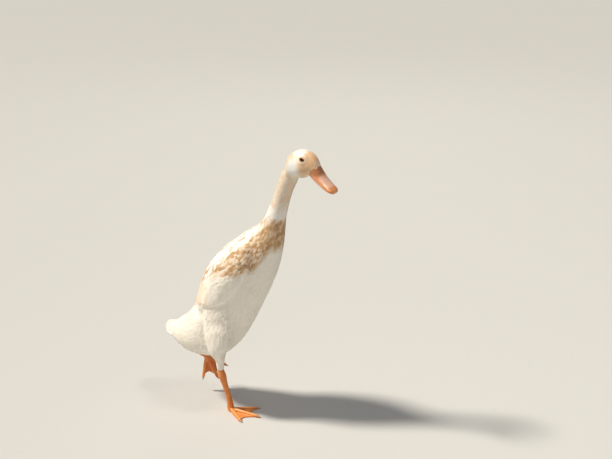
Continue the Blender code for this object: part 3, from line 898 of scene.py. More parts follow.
# Kinds of feather. Edges (hem) and tip (dip) bend down into the feathers beside them, in millimetres.
# wide is the width in spacings, and rows, columns and barbs are counts. A barb's length and width are
# shares of the feather's length. soft is how far the vane is lit as the body under it is.
featherParts = (
    "hem", "dip", "wide", "rows", "columns", "barbs", "barbLength", "barbWidth",
    "camber", "tip", "spread", "fluff", "soft", "rise",
)
featherTable = {
    "face": (0.15, 0.12, 1.90, 3, 2, 7, 0.50, 0.040, 0.10, 0.40, 0.38, 0.08, 0.84, 1.5),
    "down": (0.45, 0.25, 1.85, 3, 2, 7, 0.42, 0.055, 0.17, 0.45, 0.45, 0.10, 0.76, 1.6),
    "contour": (0.80, 0.30, 1.85, 5, 4, 14, 0.16, 0.022, 0.20, 0.60, 0.45, 0.08, 0.63, 1.7),
    "fluff": (1.00, 0.55, 2.10, 5, 4, 20, 0.24, 0.020, 0.22, 0.50, 0.60, 0.22, 0.62, 1.6),
    "covert": (0.60, 0.25, 1.70, 7, 6, 14, 0.06, 0.016, 0.12, 0.70, 0.40, 0.05, 0.53, 1.8),
    "tail": (0.30, 0.0, 1.0, 12, 8, 40, 0.070, 0.010, 0.08, 1.10, 0.35, 0.02, 0.50, 1.8),
    "quill": (0.30, 0.0, 1.0, 20, 8, 26, 0.030, 0.008, 0.10, 0.80, 0.40, 0.02, 0.31, 1.8),
}
featherKinds = {name: dict(zip(featherParts, values)) for name, values in featherTable.items()}


def vaneHalf(u, kind):
    # half width of the vane at the share u of its length, 1 at its widest
    foot = 0.30 + 0.70 * smoothStep(u, 0.0, 0.45)
    end = 1 - (1 - kind["tip"] * 0.35) * np.clip((u - 0.55) / 0.45, 0, 1) ** (2.0 + 2.0 * kind["tip"])
    return foot * end


def splineBasis(u, count):
    # weights of `count` evenly spaced points for a smooth curve read at the shares u
    weights = np.zeros((len(u), count))
    spot = np.clip(u, 0, 1) * (count - 1)
    first = np.minimum(spot.astype(int), count - 2)
    t = spot - first
    terms = (
        (-1, (-t + 2 * t**2 - t**3) / 2),
        (0, (2 - 5 * t**2 + 3 * t**3) / 2),
        (1, (t + 4 * t**2 - 3 * t**3) / 2),
        (2, (-(t**2) + t**3) / 2),
    )
    rows = np.arange(len(u))
    for shift, value in terms:
        np.add.at(weights, (rows, np.clip(first + shift, 0, count - 1)), value)
    return weights


def featherMesh(name, points, rows, columns, barbs):
    # the vanes' quads, then one triangle for each barb, from the points of each feather
    count, per = points.shape[:2]
    corner = np.arange(rows * (columns + 1)).reshape(rows, columns + 1)[:, :-1].ravel()
    quads = np.stack([corner, corner + 1, corner + columns + 2, corner + columns + 1], axis=1)
    first = (rows + 1) * (columns + 1) + np.arange(barbs)
    spikes = np.stack([first, first + barbs, first + 2 * barbs], axis=1)
    start = (np.arange(count) * per)[:, None, None]
    loops = [(faces[None] + start).reshape(count, -1) for faces in (quads, spikes)]
    loops = np.concatenate(loops, axis=1).ravel()
    sizes = np.tile(np.concatenate([np.full(len(quads), 4), np.full(len(spikes), 3)]), count)
    mesh = bpy.data.meshes.new(name)
    mesh.vertices.add(count * per)
    mesh.vertices.foreach_set("co", points.astype(np.float32).ravel())
    mesh.loops.add(len(loops))
    mesh.loops.foreach_set("vertex_index", loops.astype(np.int32))
    mesh.polygons.add(len(sizes))
    mesh.polygons.foreach_set("loop_start", (np.cumsum(sizes) - sizes).astype(np.int32))
    mesh.polygons.foreach_set("loop_total", sizes.astype(np.int32))
    mesh.update(calc_edges=True)
    mesh.shade_smooth()
    return mesh, loops, count * (2 * len(quads) + len(spikes))


def growFeathers(name, kindName, tufts, material, rng):
    # one mesh of all these feathers: tufts holds an array for each feature
    kind = featherKinds[kindName]
    count = len(tufts["length"])
    rows, columns = kind["rows"], kind["columns"]
    shares = np.meshgrid(np.linspace(0, 1, rows + 1), np.linspace(-1, 1, columns + 1), indexing="ij")
    u, v = (share.ravel() for share in shares)
    barbs = kind["barbs"]
    edge = np.linspace(0.30, 1.0, barbs)
    side = np.where(np.arange(barbs) % 2, 1.0, -1.0)
    tipShare = smoothStep(edge, 0.80, 1.0)
    barbV = side * (1 - tipShare * 0.75)
    allU = np.concatenate([u, edge])
    allV = np.concatenate([v, barbV])
    half = vaneHalf(allU, kind)
    bentU = allU * (1 - 0.16 * kind["tip"] * allV**2 * allU)  # outer barbs end sooner, which rounds the tip
    spine, normal = tufts["spine"], tufts["normal"]
    basis = splineBasis(bentU, spine.shape[1])
    place = np.einsum("gk,nkc->ngc", basis, spine)
    up = unit(np.einsum("gk,nkc->ngc", basis, normal))
    before, after = np.maximum(bentU - 0.04, 0.0), np.minimum(bentU + 0.04, 1.0)
    ahead = splineBasis(after, spine.shape[1]) - splineBasis(before, spine.shape[1])
    way = unit(np.einsum("gk,nkc->ngc", ahead, spine))
    out = unit(np.cross(way, up))
    width = (tufts["width"] / 2)[:, None]
    roll = tufts["roll"][:, None]
    rise = 1 - (1 - np.clip(bentU, 0, 1)) ** kind["rise"]  # steep at the root, flat at the tip
    lift = tufts["low"][:, None] + (tufts["high"] - tufts["low"])[:, None] * rise[None, :]
    reachOut = allV * half * width
    lift = lift - kind["camber"] * width * (allV * half) ** 2 + reachOut * roll
    lift = lift - kind["dip"] * millimetre * smoothStep(bentU, 0.70, 1.0)[None, :]
    lift = lift - kind["hem"] * millimetre * (allV**4)[None, :]
    ruffle = rng.normal(0, 1, (count, len(allU))) * kind["fluff"] * 0.16 * width * np.abs(allV) * allU
    place = place + out * reachOut[..., None] + up * (lift + ruffle)[..., None]
    grid = len(u)
    vane = place[:, :grid]
    # barbs at the edge and the tip
    base, baseWay, baseOut, baseUp = place[:, grid:], way[:, grid:], out[:, grid:], up[:, grid:]
    long = (tufts["length"] * kind["barbLength"])[:, None] * rng.uniform(0.6, 1.25, (count, barbs))
    thin = (tufts["length"] * kind["barbWidth"])[:, None]
    lean = (side * kind["spread"] * (1 - tipShare * 0.75))[None, :] + rng.normal(0, 0.12, (count, barbs))
    curl = rng.normal(0, 1, (count, barbs)) * kind["fluff"] * 0.45
    aim = unit(baseWay + baseOut * lean[..., None] + baseUp * (curl - 0.05)[..., None])
    tip = base + long[..., None] * aim
    across = unit(baseWay * (1 - tipShare)[None, :, None] + baseOut * tipShare[None, :, None])
    inward = baseOut * (side * (1 - tipShare))[None, :, None] * (width * 0.18)[..., None]
    inward = inward + baseWay * (tipShare[None, :] * tufts["length"][:, None] * 0.05)[..., None]
    facing = (np.cross(across, tip - base) * baseUp).sum(axis=2, keepdims=True)
    across = across * np.where(facing < 0, -1.0, 1.0)
    left = base - inward - across * thin[..., None]
    right = base - inward + across * thin[..., None]
    points = np.concatenate([vane, left, right, tip], axis=1)
    per = points.shape[1]
    mesh, loops, triangles = featherMesh(name, points, rows, columns, barbs)
    # along, across and the feather's own draw, its colour, and its place on the baking map
    allAlong = np.concatenate([u, edge, edge, np.minimum(edge + 0.12, 1.0)])
    allAcross = np.concatenate([v, barbV, barbV, barbV])
    tuft = np.empty((count, per, 3))
    tuft[..., 0] = allAlong
    tuft[..., 1] = allAcross
    tuft[..., 2] = tufts["draw"][:, None]
    setVectors(mesh, "tuft", tuft.reshape(-1, 3))
    setColours(mesh, "tone", np.repeat(tufts["tone"], per, axis=0))
    patch = coatLook["patch"]
    spot = np.empty((count, per, 2))
    spot[..., 0] = tufts["map"][:, :1] + allAcross * patch * 0.48
    spot[..., 1] = tufts["map"][:, 1:] + (allAlong - 0.5) * patch * 0.96
    layer = mesh.uv_layers.new(name="OFBake")
    layer.data.foreach_set("uv", spot.reshape(-1, 2)[loops].astype(np.float32).ravel())
    # soft shading: the vanes take part of their light as the body under them does
    own = meshArrays(mesh)[1].reshape(count, per, 3)
    body = np.concatenate([up[:, :grid], baseUp, baseUp, baseUp], axis=1)
    shading = unit(own * (1 - kind["soft"]) + body * kind["soft"]).reshape(-1, 3)
    mesh.normals_split_custom_set_from_vertices(shading.tolist())
    mesh.materials.append(material)
    piece = newObject(name, mesh)
    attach(piece, "root")
    print(name + ":", count, "feathers,", triangles, "triangles")
    return piece, triangles


def layAlong(surface, roots, flow, length, steps, hold, free):
    # spine of each feather: it follows the surface from its root, holding its own way by the share
    # `hold`, and goes straight on by the share `free`
    free = free[:, None]
    spine, normals = [], []
    spot, normal = roots.copy(), None
    way = flow.copy()
    for step in range(steps):
        if step:
            spot = spot + way * (length / (steps - 1))[:, None]
        snapped, normal, local, _, _ = surface.at(spot)
        spot = snapped * (1 - free) + spot * free
        own = hold + (1 - hold) * free
        way = way * own + local * (1 - own)
        way = unit(way - normal * (way * normal).sum(axis=1, keepdims=True) * (1 - free))
        spine.append(spot)
        normals.append(normal)
    return np.stack(spine, axis=1), np.stack(normals, axis=1)


def scatter(surface, spacing, rng, tries=4.5):
    # root places over the faces, thinned until none is nearer to another than the spacing there
    corners = surface.points[surface.faces]
    areas = np.linalg.norm(np.cross(corners[:, 1] - corners[:, 0], corners[:, 2] - corners[:, 0]), axis=1) / 2
    gap = spacing[surface.faces].mean(axis=1)
    weight = areas / gap**2
    count = int(weight.sum() * tries)
    face = rng.choice(len(weight), count, p=weight / weight.sum())
    a, b = rng.random(count), rng.random(count)
    a, b = np.where(a + b > 1, 1 - a, a), np.where(a + b > 1, 1 - b, b)
    first, second, third = (corners[face, i] for i in range(3))
    spots = first + (second - first) * a[:, None] + (third - first) * b[:, None]
    near = kdtree.KDTree(count)
    for i, spot in enumerate(spots):
        near.insert(spot, i)
    near.balance()
    alive = np.ones(count, bool)
    for i in range(count):
        if alive[i]:
            for _, other, _ in near.find_range(spots[i], gap[face[i]] * coatLook["closest"]):
                if other > i:
                    alive[other] = False
    return spots[alive]


def within(tree, point):
    # whether the point lies inside the closed solid: a ray from it leaves an odd number of times
    start, way, crossings = Vector(point), Vector((0.31, 0.83, 0.46)).normalized(), 0
    while crossings < 20:
        hit = tree.ray_cast(start, way)[0]
        if hit is None:
            break
        crossings += 1
        start = hit + way * 1e-5
    return crossings % 2 == 1


def offEye(points, side, free):
    # whether the points keep this far (mm) from the opening of the lids
    length, height = ((value + free) * millimetre for value in eyeLook["opening"])
    axis, along, above = (np.array(way) for way in eyeFrame(side))
    away = points - eyeCentre[side]
    return (np.hypot(away @ along / length, away @ above / height) > 1) | (away @ axis < 0)


# left edge and width on the baking map of the body's and the thighs' strips
mapStrips = {"body": (0.01, 0.69), "right": (0.73, 0.12), "left": (0.87, 0.12)}


def mapPlaces(points, chart, thighRight, thighLeft):
    # a tuft's place on an unwrap of the skin: rolled out round the middle line, the thighs beside it
    table = np.array(growth)
    reach = np.linspace(0, table[-1, 0], 300)
    rate = np.cumsum(1 / np.interp(reach, table[:, 0], table[:, 3]))
    down = np.interp(chart[:, 0], reach, rate / rate[-1])
    left, wide = mapStrips["body"]
    places = np.stack([left + wide * (chart[:, 1] / (2 * math.pi) + 0.5), 0.99 - 0.98 * down], axis=1)
    for side, share in (("right", thighRight), ("left", thighLeft)):
        left, wide = mapStrips[side]
        line = np.array(thighLines[side])
        height = np.interp(points[:, 2], line[::-1, 2], np.arange(len(line))[::-1])
        centre = np.stack([np.interp(points[:, 2], line[::-1, 2], line[::-1, i]) for i in (0, 1)], axis=1)
        angle = np.arctan2(points[:, 1] - centre[:, 1], points[:, 0] - centre[:, 0])
        own = np.stack([left + wide * (angle / (2 * math.pi) + 0.5), 0.95 - 0.10 * height], axis=1)
        places = np.where(share[:, None] > 0.5, own, places)
    return np.clip(places, 0.002, 0.998)


def makeCoat(surface, group):
    rng = np.random.default_rng(coatLook["seed"])
    kinds = ("face", "down", "contour", "fluff", "covert")
    materials = {kind: plumageMaterial(kind, group) for kind in kinds}
    roots = scatter(surface, surface.spacing, rng)
    spots, normal, flow, corners, near = surface.at(roots)

    def read(field):
        return (field[corners] * near[:, :, 0]).sum(axis=1)

    length, depth, spacing = read(surface.length), read(surface.depth), read(surface.spacing)
    wing, thigh, edge = read(surface.wing), read(surface.thigh), read(surface.edge)
    thighRight, thighLeft = read(surface.thighs["right"]), read(surface.thighs["left"])
    chart, way = chartOf(spots)
    reach = chart[:, 0]
    # at the tail's end the coat points straight back
    back = smoothStep(reach, *coatLook["tailBack"])
    flow = unit(blended(flow, way, 0.6 * back[:, None]))
    length = length * (1 - 0.60 * back)
    # belly, flanks, vent and thighs are downy
    under = smoothStep(np.abs(chart[:, 1]), *coatLook["downyTurn"])
    under = under * smoothStep(reach, *coatLook["downyReach"])
    fluffy = np.maximum(under, thigh) * (1 - wing)
    plain = (wing < 0.5) & (fluffy < 0.5)
    # bare: the tail's cap, the openings of the lids, and what lies on or inside the bill
    free = (back < 0.01) | ((normal * way).sum(axis=1) < coatLook["capBare"])
    tips = spots + flow * length[:, None]
    for side in sides:
        free &= offEye(spots, side, coatLook["eyeRoots"]) & offEye(tips, side, coatLook["eyeTips"])
    billTrees = [nodeTree("bill_upper"), nodeTree("bill_lower")]
    for i in np.flatnonzero(spots[:, 0] > 0.14):
        for tree in billTrees:
            if tree.find_nearest(spots[i])[3] < coatLook["billClear"] or within(tree, spots[i]):
                free[i] = False
    headEnd, neckEnd, mantleEnd = coatLook["borders"]
    groups = [
        ("coat_head", "face", reach < headEnd),
        ("coat_neck", "down", (reach >= headEnd) & (reach < neckEnd)),
        ("coat_mantle", "contour", plain & (reach >= neckEnd) & (reach < mantleEnd)),
        ("coat_back", "contour", plain & (reach >= mantleEnd)),
        ("coat_wing_right", "covert", (wing >= 0.5) & (spots[:, 1] < middleY)),
        ("coat_wing_left", "covert", (wing >= 0.5) & (spots[:, 1] >= middleY)),
        ("coat_belly", "fluff", (fluffy >= 0.5) & (thigh < 0.5)),
        ("coat_thighs", "fluff", (fluffy >= 0.5) & (thigh >= 0.5)),
    ]
    rootHigh, tipHigh = coatLook["rootHigh"], coatLook["tipHigh"]
    steps, hold = coatLook["steps"], coatLook["hold"]
    total = 0
    for name, kind, chosen in groups:
        pick = np.flatnonzero(chosen & free)
        n = len(pick)
        draw = rng.random(n)
        turn = rng.normal(0, math.radians(coatLook["fluffYaw" if kind == "fluff" else "yaw"]), n)
        aside = np.cross(normal[pick], flow[pick])
        ahead = flow[pick] * np.cos(turn)[:, None] + aside * np.sin(turn)[:, None]
        long = length[pick] * rng.uniform(0.85, 1.15, n)
        tail = smoothStep(chart[pick, 0], *coatLook["tailFree"])
        spine, normals = layAlong(surface, spots[pick], ahead, long, steps, hold, tail)
        deep = depth[pick]
        lumps = waves(spots[pick], 0.022, 8) * coatLook["puff"][kind != "fluff"]
        standing = edge[pick] * (spots[pick, 1] < middleY) * draw**3 * coatLook["edgeLift"] * millimetre
        shown = spine[:, -2] + normals[:, -2] * deep[:, None]
        tufts = {
            "spine": spine,
            "normal": normals,
            "length": long,
            "width": spacing[pick] * featherKinds[kind]["wide"] * rng.uniform(0.9, 1.1, n),
            "roll": rng.normal(0, 0.05, n),
            "low": deep * rootHigh[0] + rootHigh[1],
            "high": deep * (tipHigh[0] + 0.05 * draw + lumps) + tipHigh[1] + standing,
            "draw": draw,
            "tone": plumageTone(shown, chartOf(shown)[0], draw - 0.5),
            "map": mapPlaces(spots[pick], chart[pick], thighRight[pick], thighLeft[pick]),
        }
        total += growFeathers(name, kind, tufts, materials[kind], rng)[1]
    print("coat:", total, "triangles")


# flight and tail feathers
quillLook = {
    "stations": ((0.045, 0.383), (-0.096, 0.169)),  # x and z of the neck's foot and of the vent
    # share of the way from the neck's foot to the vent, and degrees down from the back: root and tip
    # of the lowest and of the highest feather, then how many, width, and lift at the tip (mm)
    "secondaries": (((0.38, 104), (0.655, 92)), ((0.40, 46), (0.800, 30)), 9, 18.0, (0.6, 2.2)),
    "primaries": (((0.62, 38), (0.900, 26)), ((0.62, 26), (0.965, 14)), 6, 12.0, (0.8, 1.6)),
    "fill": 5.0,
    "rootIn": -0.0030,  # how high a quill's root lies, metres
    "roll": -0.03,
    "steps": 9,
}
quillTones = {"secondaries": ("white", "peach"), "primaries": ("cream", "white")}
# Rows of the tail. face is 1 for vanes that look up and -1 for those that look down. root and tip hold
# x and its change towards the sides, half the row's breadth, and height and its change. The tip's x
# counts from the end of the tail. roll, low and high lift the vanes.
tailRows = {
    "tail_feathers": {
        "count": 16,
        "face": 1,
        "root": ((-0.155, 0.0), 0.015, (0.1490, -0.0040)),
        "tip": ((0.0005, 0.018), 0.0300, (0.1545, -0.0040)),
        "roll": (0.05, 0.12),
        "low": -0.0030,
        "high": (0.0040, -0.0062),
    },
    "tail_under": {
        "count": 11,
        "face": -1,
        "root": ((-0.176, 0.0), 0.012, (0.1440, 0.0010)),
        "tip": ((0.0035, 0.016), 0.0260, (0.1575, -0.0064)),
        "roll": (0.0, 0.05),
        "low": 0.0,
        "high": (0.0008, 0.0),
    },
}
tailVane = {"width": 0.0135, "steps": 6, "slope": 0.25}  # slope: how far the outer vanes tilt outwards


class Chart:
    # places on a surface by their share of the body's length and the angle round it
    def __init__(self, surface):
        self.tree = surface.tree
        ends = [np.linalg.norm(linePoints[:, [0, 2]] - end, axis=1) for end in quillLook["stations"]]
        self.first, last = (lineReach[np.argmin(away)] for away in ends)
        self.span = last - self.first

    def place(self, share, degrees, side):
        reach = self.first + self.span * share
        centre = np.array([np.interp(reach, lineReach, linePoints[:, i]) for i in range(3)])
        way = np.array([np.interp(reach, lineReach, lineWay[:, i]) for i in range(3)])
        back = np.array((way[2], 0, -way[0])) / math.hypot(way[0], way[2])
        turn = math.radians(degrees)
        out = back * math.cos(turn) + np.array((0, sides[side], 0)) * math.sin(turn)
        hit = self.tree.ray_cast(centre + out * 0.2, -out)
        return np.array(hit[0]), np.array(hit[1])


def makeQuills(group):
    rng = np.random.default_rng(coatLook["seed"] + 1)
    material = plumageMaterial("quill", group)
    nodes = ["trunk", "tail", "neck", "wing_left", "wing_right", "flight_left", "flight_right"]
    cover = closedForm("quill_bed", nodes, quillLook["fill"] * millimetre)
    chart = Chart(Surface(cover, meshArrays(cover.data)[1]))
    for side in sides:
        spine, normal, width, lift, tone = [], [], [], [], []
        for name in ("primaries", "secondaries"):
            low, high, count, wide, lifts = quillLook[name]
            for i in range(count):
                share = i / (count - 1)
                ends = np.array(low) * (1 - share) + np.array(high) * share
                shares = np.linspace(0, 1, quillLook["steps"])
                steps = [chart.place(*(ends[0] + (ends[1] - ends[0]) * t), side) for t in shares]
                spine.append([step[0] for step in steps])
                normal.append([step[1] for step in steps])
                width.append(wide * millimetre * rng.uniform(0.95, 1.05))
                lift.append((lifts[0] + (lifts[1] - lifts[0]) * share) * millimetre)
                first, last = quillTones[name]
                blend = np.clip(share**2 * rng.uniform(0.8, 1.0) + rng.normal(0, 0.10), 0, 1)
                tone.append(blended(tones[first], tones[last], blend))
        spine, normal, lift = np.array(spine), np.array(normal), np.array(lift)
        for _ in range(2):
            normal[:, 1:-1] = unit(normal[:, :-2] + normal[:, 1:-1] + normal[:, 2:])
        n = len(spine)
        tufts = {
            "spine": spine,
            "normal": normal,
            "length": np.linalg.norm(spine[:, -1] - spine[:, 0], axis=1),
            "width": np.array(width),
            "roll": np.full(n, quillLook["roll"] * sides[side]),
            "low": np.full(n, quillLook["rootIn"]),
            "high": lift,
            "draw": rng.random(n),
            "tone": np.array(tone),
            "map": mapPlaces(spine[:, 0], chartOf(spine[:, 0])[0], np.zeros(n), np.zeros(n)),
        }
        piece, _ = growFeathers("quills_" + side, "quill", tufts, material, rng)
        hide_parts("flight_" + side)
    tailPiece(material, rng)
    bpy.data.objects.remove(cover)


def tailPiece(material, rng):
    # the fan of the tail, and under it the short coverts that close the tail from below
    fan = tailRow("tail_feathers", material, rng)
    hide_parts("tail_fan")
    tailRow("tail_under", material, rng)


def tailRow(name, material, rng):
    row = tailRows[name]
    n = row["count"]
    share = np.linspace(-1, 1, n)
    low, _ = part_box("tail_fan")
    start, end = (
        np.stack([x + sweep * share**2, middleY + share * half, z + curve * share**2], axis=1)
        for (x, sweep), half, (z, curve) in (row["root"], row["tip"])
    )
    end[:, 0] += low.x
    spine = start[:, None] + (end - start)[:, None] * np.linspace(0, 1, tailVane["steps"])[None, :, None]
    normal = np.zeros_like(spine)
    normal[..., 2] = row["face"]
    normal[..., 1] = share[:, None] * tailVane["slope"]
    chart, _ = chartOf(start)
    tufts = {
        "spine": spine,
        "normal": unit(normal),
        "length": np.linalg.norm(end - start, axis=1),
        "width": np.full(n, tailVane["width"]),
        "roll": row["roll"][0] + share * row["roll"][1],
        "low": np.abs(share) * row["low"],
        "high": row["high"][0] + np.abs(share) * row["high"][1],
        "draw": rng.random(n),
        "tone": plumageTone(start, chart, rng.random(n) - 0.5),
        "map": mapPlaces(start, chart, np.zeros(n), np.zeros(n)),
    }
    return growFeathers(name, "tail", tufts, material, rng)[0]


# bill
billTones = {
    "orange": srgb(230, 150, 98),
    "pink": srgb(249, 204, 180),
    "dusky": srgb(160, 106, 66),
    "bright": srgb(246, 152, 52),
    "tip": srgb(220, 142, 76),
    "nail": srgb(206, 158, 138),
    # painted shade inside the nostril
    "nostrilShade": srgb(74, 44, 32),
}
billLook = {
    "voxel": 0.55,
    "pitch": 37.0,
    # place, radii along, across and up, depth
    "nostril": ((0.1752, 0.0068, 0.5372), (0.0031, 0.0024, 0.0012), 0.0013),
    "nostrilRim": 0.00022,  # how high the edge of the nostril and the nail stand
    "nailRise": 0.00015,
    "rootIn": 0.0018,  # how far the bill's root runs on under the plumage
    # place, radii, colour, strength
    "patches": {
        "top": ((0.186, 0.006, 0.525), (0.019, 0.012, 0.016), "pink", 0.85),
        "base": ((0.167, 0.006, 0.5420), (0.0145, 0.022, 0.0115), "dusky", 0.85),
        "edge": ((0.180, 0.017, 0.514), (0.030, 0.0055, 0.016), "bright", 0.65),
        "tip": ((0.201, 0.006, 0.507), (0.013, 0.014, 0.011), "tip", 0.75),
        "nail": ((0.2030, 0.0, 0.5085), (0.0050, 0.0052, 0.0045), "nail", 0.40),
    },
}


def patched(points, base, patches, tonesOf, seed, loose=0.15):
    # base colour with soft patches
    colour = np.tile(tonesOf[base], (len(points), 1))
    soft = waves(points, 0.004, seed) * loose
    for place, radii, tone, strength in patches.values():
        share = strength * (1 - smoothStep(patchDistance(points, place, radii) + soft, 0.55, 1.1))
        colour = blended(colour, tonesOf[tone], share[:, None])
    return colour


def hornGroup():
    # skin of bill and legs: fine grain, blotches and small scales
    tree, shader, given, out = newGroup(
        "bare_skin",
        {"Tone": "NodeSocketColor", "Place": "NodeSocketVector", "Scales": "NodeSocketFloat"},
        {"Colour": "NodeSocketColor", "Height": "NodeSocketFloat", "Roughness": "NodeSocketFloat"},
    )
    grain = shader.noise(given["Place"], 1400, 3)
    blotch = shader.noise(given["Place"], 160, 3)
    cell = shader.cells(given["Place"], 620)
    crease = shader.maths("MULTIPLY", shader.ramp(cell, 0.0, 0.12, 1.0, 0.0), given["Scales"])
    colour = shader.mix(shader.ramp(blotch, 0.40, 0.75, 0.0, 0.20), given["Tone"], (*billTones["dusky"], 1))
    colour = shader.mix(shader.maths("MULTIPLY", crease, 0.35), colour, (*srgb(150, 80, 48), 1))
    colour = shader.mix(shader.ramp(grain, 0.5, 0.8, 0.0, 0.06), colour, (1, 0.80, 0.60, 1))
    shader.join(colour, out["Colour"])
    height = shader.maths("MULTIPLY_ADD", crease, -0.8, shader.maths("MULTIPLY", grain, 0.35))
    shader.join(shader.maths("MULTIPLY_ADD", blotch, 0.3, height), out["Height"])
    shader.join(shader.ramp(blotch, 0.3, 0.7, 0.30, 0.44), out["Roughness"])
    return tree


def hornMaterial(name, group, scales, bump, coat):
    material, shader, surface = newMaterial(name, 0.42, Coat_Weight=coat, Coat_Roughness=0.25)
    place = shader.node("ShaderNodeTexCoord").outputs["Object"]
    skin = shader.group(group, Tone=shader.attribute("tone", "Color"), Place=place, Scales=scales)
    shader.join(skin.outputs["Colour"], surface["Base Color"])
    shader.join(skin.outputs["Roughness"], surface["Roughness"])
    bumped(shader, surface, skin.outputs["Height"], 0.5, bump)
    return material


def makeBill(group):
    material = hornMaterial("bill_skin", group, 0.0, 0.00015, 0.60)
    place, radii, deep = billLook["nostril"]
    pitch = math.radians(billLook["pitch"])
    along = np.array((math.cos(pitch), 0, -math.sin(pitch)))
    up = np.array((math.sin(pitch), 0, math.cos(pitch)))
    headTree = nodeTree("head")
    for node in ("bill_upper", "bill_lower"):
        piece = fused(node + "_horn", [node], 0.0, billLook["voxel"] * millimetre, 5)
        mesh = piece.data
        points, normals = meshArrays(mesh)
        # its root runs on under the plumage of the face
        root = 1 - smoothStep(distances(headTree, points, 0.004), 0.0004, 0.0018)
        points = points - along * (root * billLook["rootIn"])[:, None]
        hole = np.zeros(len(points))
        if node == "bill_upper":
            side = np.abs(points[:, 1] - middleY)
            off = points - np.array((place[0], 0, place[2]))
            squares = (off @ along / radii[0]) ** 2 + ((side - place[1]) / radii[1]) ** 2
            away = np.sqrt(squares + (off @ up / radii[2]) ** 2)
            hole = 1 - smoothStep(away, 0.35, 1.0)
            points = points - normals * (deep * hole)[:, None]
            rim = smoothStep(away, 0.8, 1.15) * (1 - smoothStep(away, 1.15, 2.2))
            points = points + normals * (billLook["nostrilRim"] * rim)[:, None]
            # the nail stands a little proud of the tip
            away = patchDistance(points, *billLook["patches"]["nail"][:2])
            points = points + normals * (billLook["nailRise"] * (1 - smoothStep(away, 0.70, 1.15)))[:, None]
        points = points + normals * (waves(points, 0.0035, 11) * 0.00006)[:, None]
        setPoints(mesh, points)
        tone = patched(points, "orange", billLook["patches"], billTones, 12)
        # painted shade: the nostril's hollow is coloured dark for the shade inside the opening
        nostrilShade = (0.80 * smoothStep(hole, 0.30, 0.95))[:, None]
        setColours(mesh, "tone", blended(tone, billTones["nostrilShade"], nostrilShade))
        mesh.materials.append(material)
        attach(piece, "root")
        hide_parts(node)
    print("bill made")


# eyes and lids
eyeLook = {
    "radius": 6.2,
    "iris": 4.7,
    "pupil": 2.05,
    "facing": (0.30, 0.94, 0.14),  # forward, out, up
    "tilt": -22.0,  # degrees the opening turns, down towards the bill
    "opening": (4.1, 2.85),  # half length and half height of the opening between the lids
    "lidWidth": 4.3,
    "rays": 9.0,  # millimetres out from the pupil over which the iris changes once
    "bulge": 0.00035,  # metres that the clear front stands out, and that the ball is sunk
    "sunk": 0.00025,
    "lidRim": 0.00050,  # height of the lids' rim and of their folds, metres
    "lidFold": 0.00012,
}
eyeTones = {
    "iris": srgb(124, 74, 38),
    "irisRim": srgb(52, 28, 16),
    "pupil": srgb(6, 5, 5),
    "lid": srgb(226, 190, 150),
    "lidEdge": srgb(166, 116, 80),
}


def eyeFrame(side):
    # the eye's own directions: out of the head, along its opening and across that
    forward, outward, upward = eyeLook["facing"]
    axis = Vector((forward, sides[side] * outward, upward)).normalized()
    ahead = Vector((1, 0, 0)) - axis * axis.x
    ahead.normalize()
    high = axis.cross(ahead) if side == "left" else ahead.cross(axis)
    if high.z < 0:
        high = -high
    tilt = math.radians(eyeLook["tilt"])
    along = ahead * math.cos(tilt) + high * math.sin(tilt)
    above = high * math.cos(tilt) - ahead * math.sin(tilt)
    return axis, along, above


def eyeMaterial():
    material, shader, surface = newMaterial(
        "eye_wet", 0.08, Coat_Weight=0.35, Coat_Roughness=0.02, Specular_IOR_Level=0.35
    )
    place = shader.attribute("eyePlace")
    split = shader.node("ShaderNodeSeparateXYZ")
    shader.join(place, split.inputs[0])
    out = shader.maths("MULTIPLY", split.outputs[2], eyeLook["rays"] / eyeLook["iris"])
    rays = shader.noise(place, 9, 3)
    iris = shader.mix(shader.ramp(rays, 0.35, 0.7), (*eyeTones["irisRim"], 1), (*eyeTones["iris"], 1))
    pupil = eyeLook["pupil"] / eyeLook["iris"]
    colour = shader.mix(shader.ramp(out, pupil - 0.03, pupil + 0.03, 1.0, 0.0), iris, (*eyeTones["pupil"], 1))
    colour = shader.mix(shader.ramp(out, 0.88, 1.0), colour, (*eyeTones["irisRim"], 1))
    shader.join(colour, surface["Base Color"])
    return material


def makeEyes(skinTree, group):
    material = eyeMaterial()
    lidMaterial = hornMaterial("lid_skin", group, 0.35, 0.0001, 0.15)
    radius = eyeLook["radius"] * millimetre
    for side in sides:
        axis, along, above = (np.array(way) for way in eyeFrame(side))
        sphere = bmesh.new()
        bmesh.ops.create_uvsphere(sphere, u_segments=72, v_segments=48, radius=1)
        mesh = bpy.data.meshes.new("eye_ball_" + side)
        sphere.to_mesh(mesh)
        sphere.free()
        ball, _ = meshArrays(mesh)
        turned = ball[:, :1] * along + ball[:, 1:2] * above + ball[:, 2:] * axis
        off = np.arccos(np.clip(ball[:, 2], -1, 1)) * eyeLook["radius"]  # millimetres from the pupil's middle
        bulge = eyeLook["bulge"] * (1 - smoothStep(off, 0.0, eyeLook["iris"] * 1.05))
        setPoints(mesh, eyeCentre[side] + turned * (radius - eyeLook["sunk"] + bulge)[:, None])
        angle = np.arctan2(ball[:, 1], ball[:, 0])
        setVectors(mesh, "eyePlace", np.stack([np.cos(angle), np.sin(angle), off / eyeLook["rays"]], axis=1))
        mesh.shade_smooth()
        mesh.materials.append(material)
        piece = newObject("eye_ball_" + side, mesh)
        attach(piece, "root")
        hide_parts("eye_" + side)
        makeLids(side, radius, skinTree, lidMaterial)
    print("eyes made")


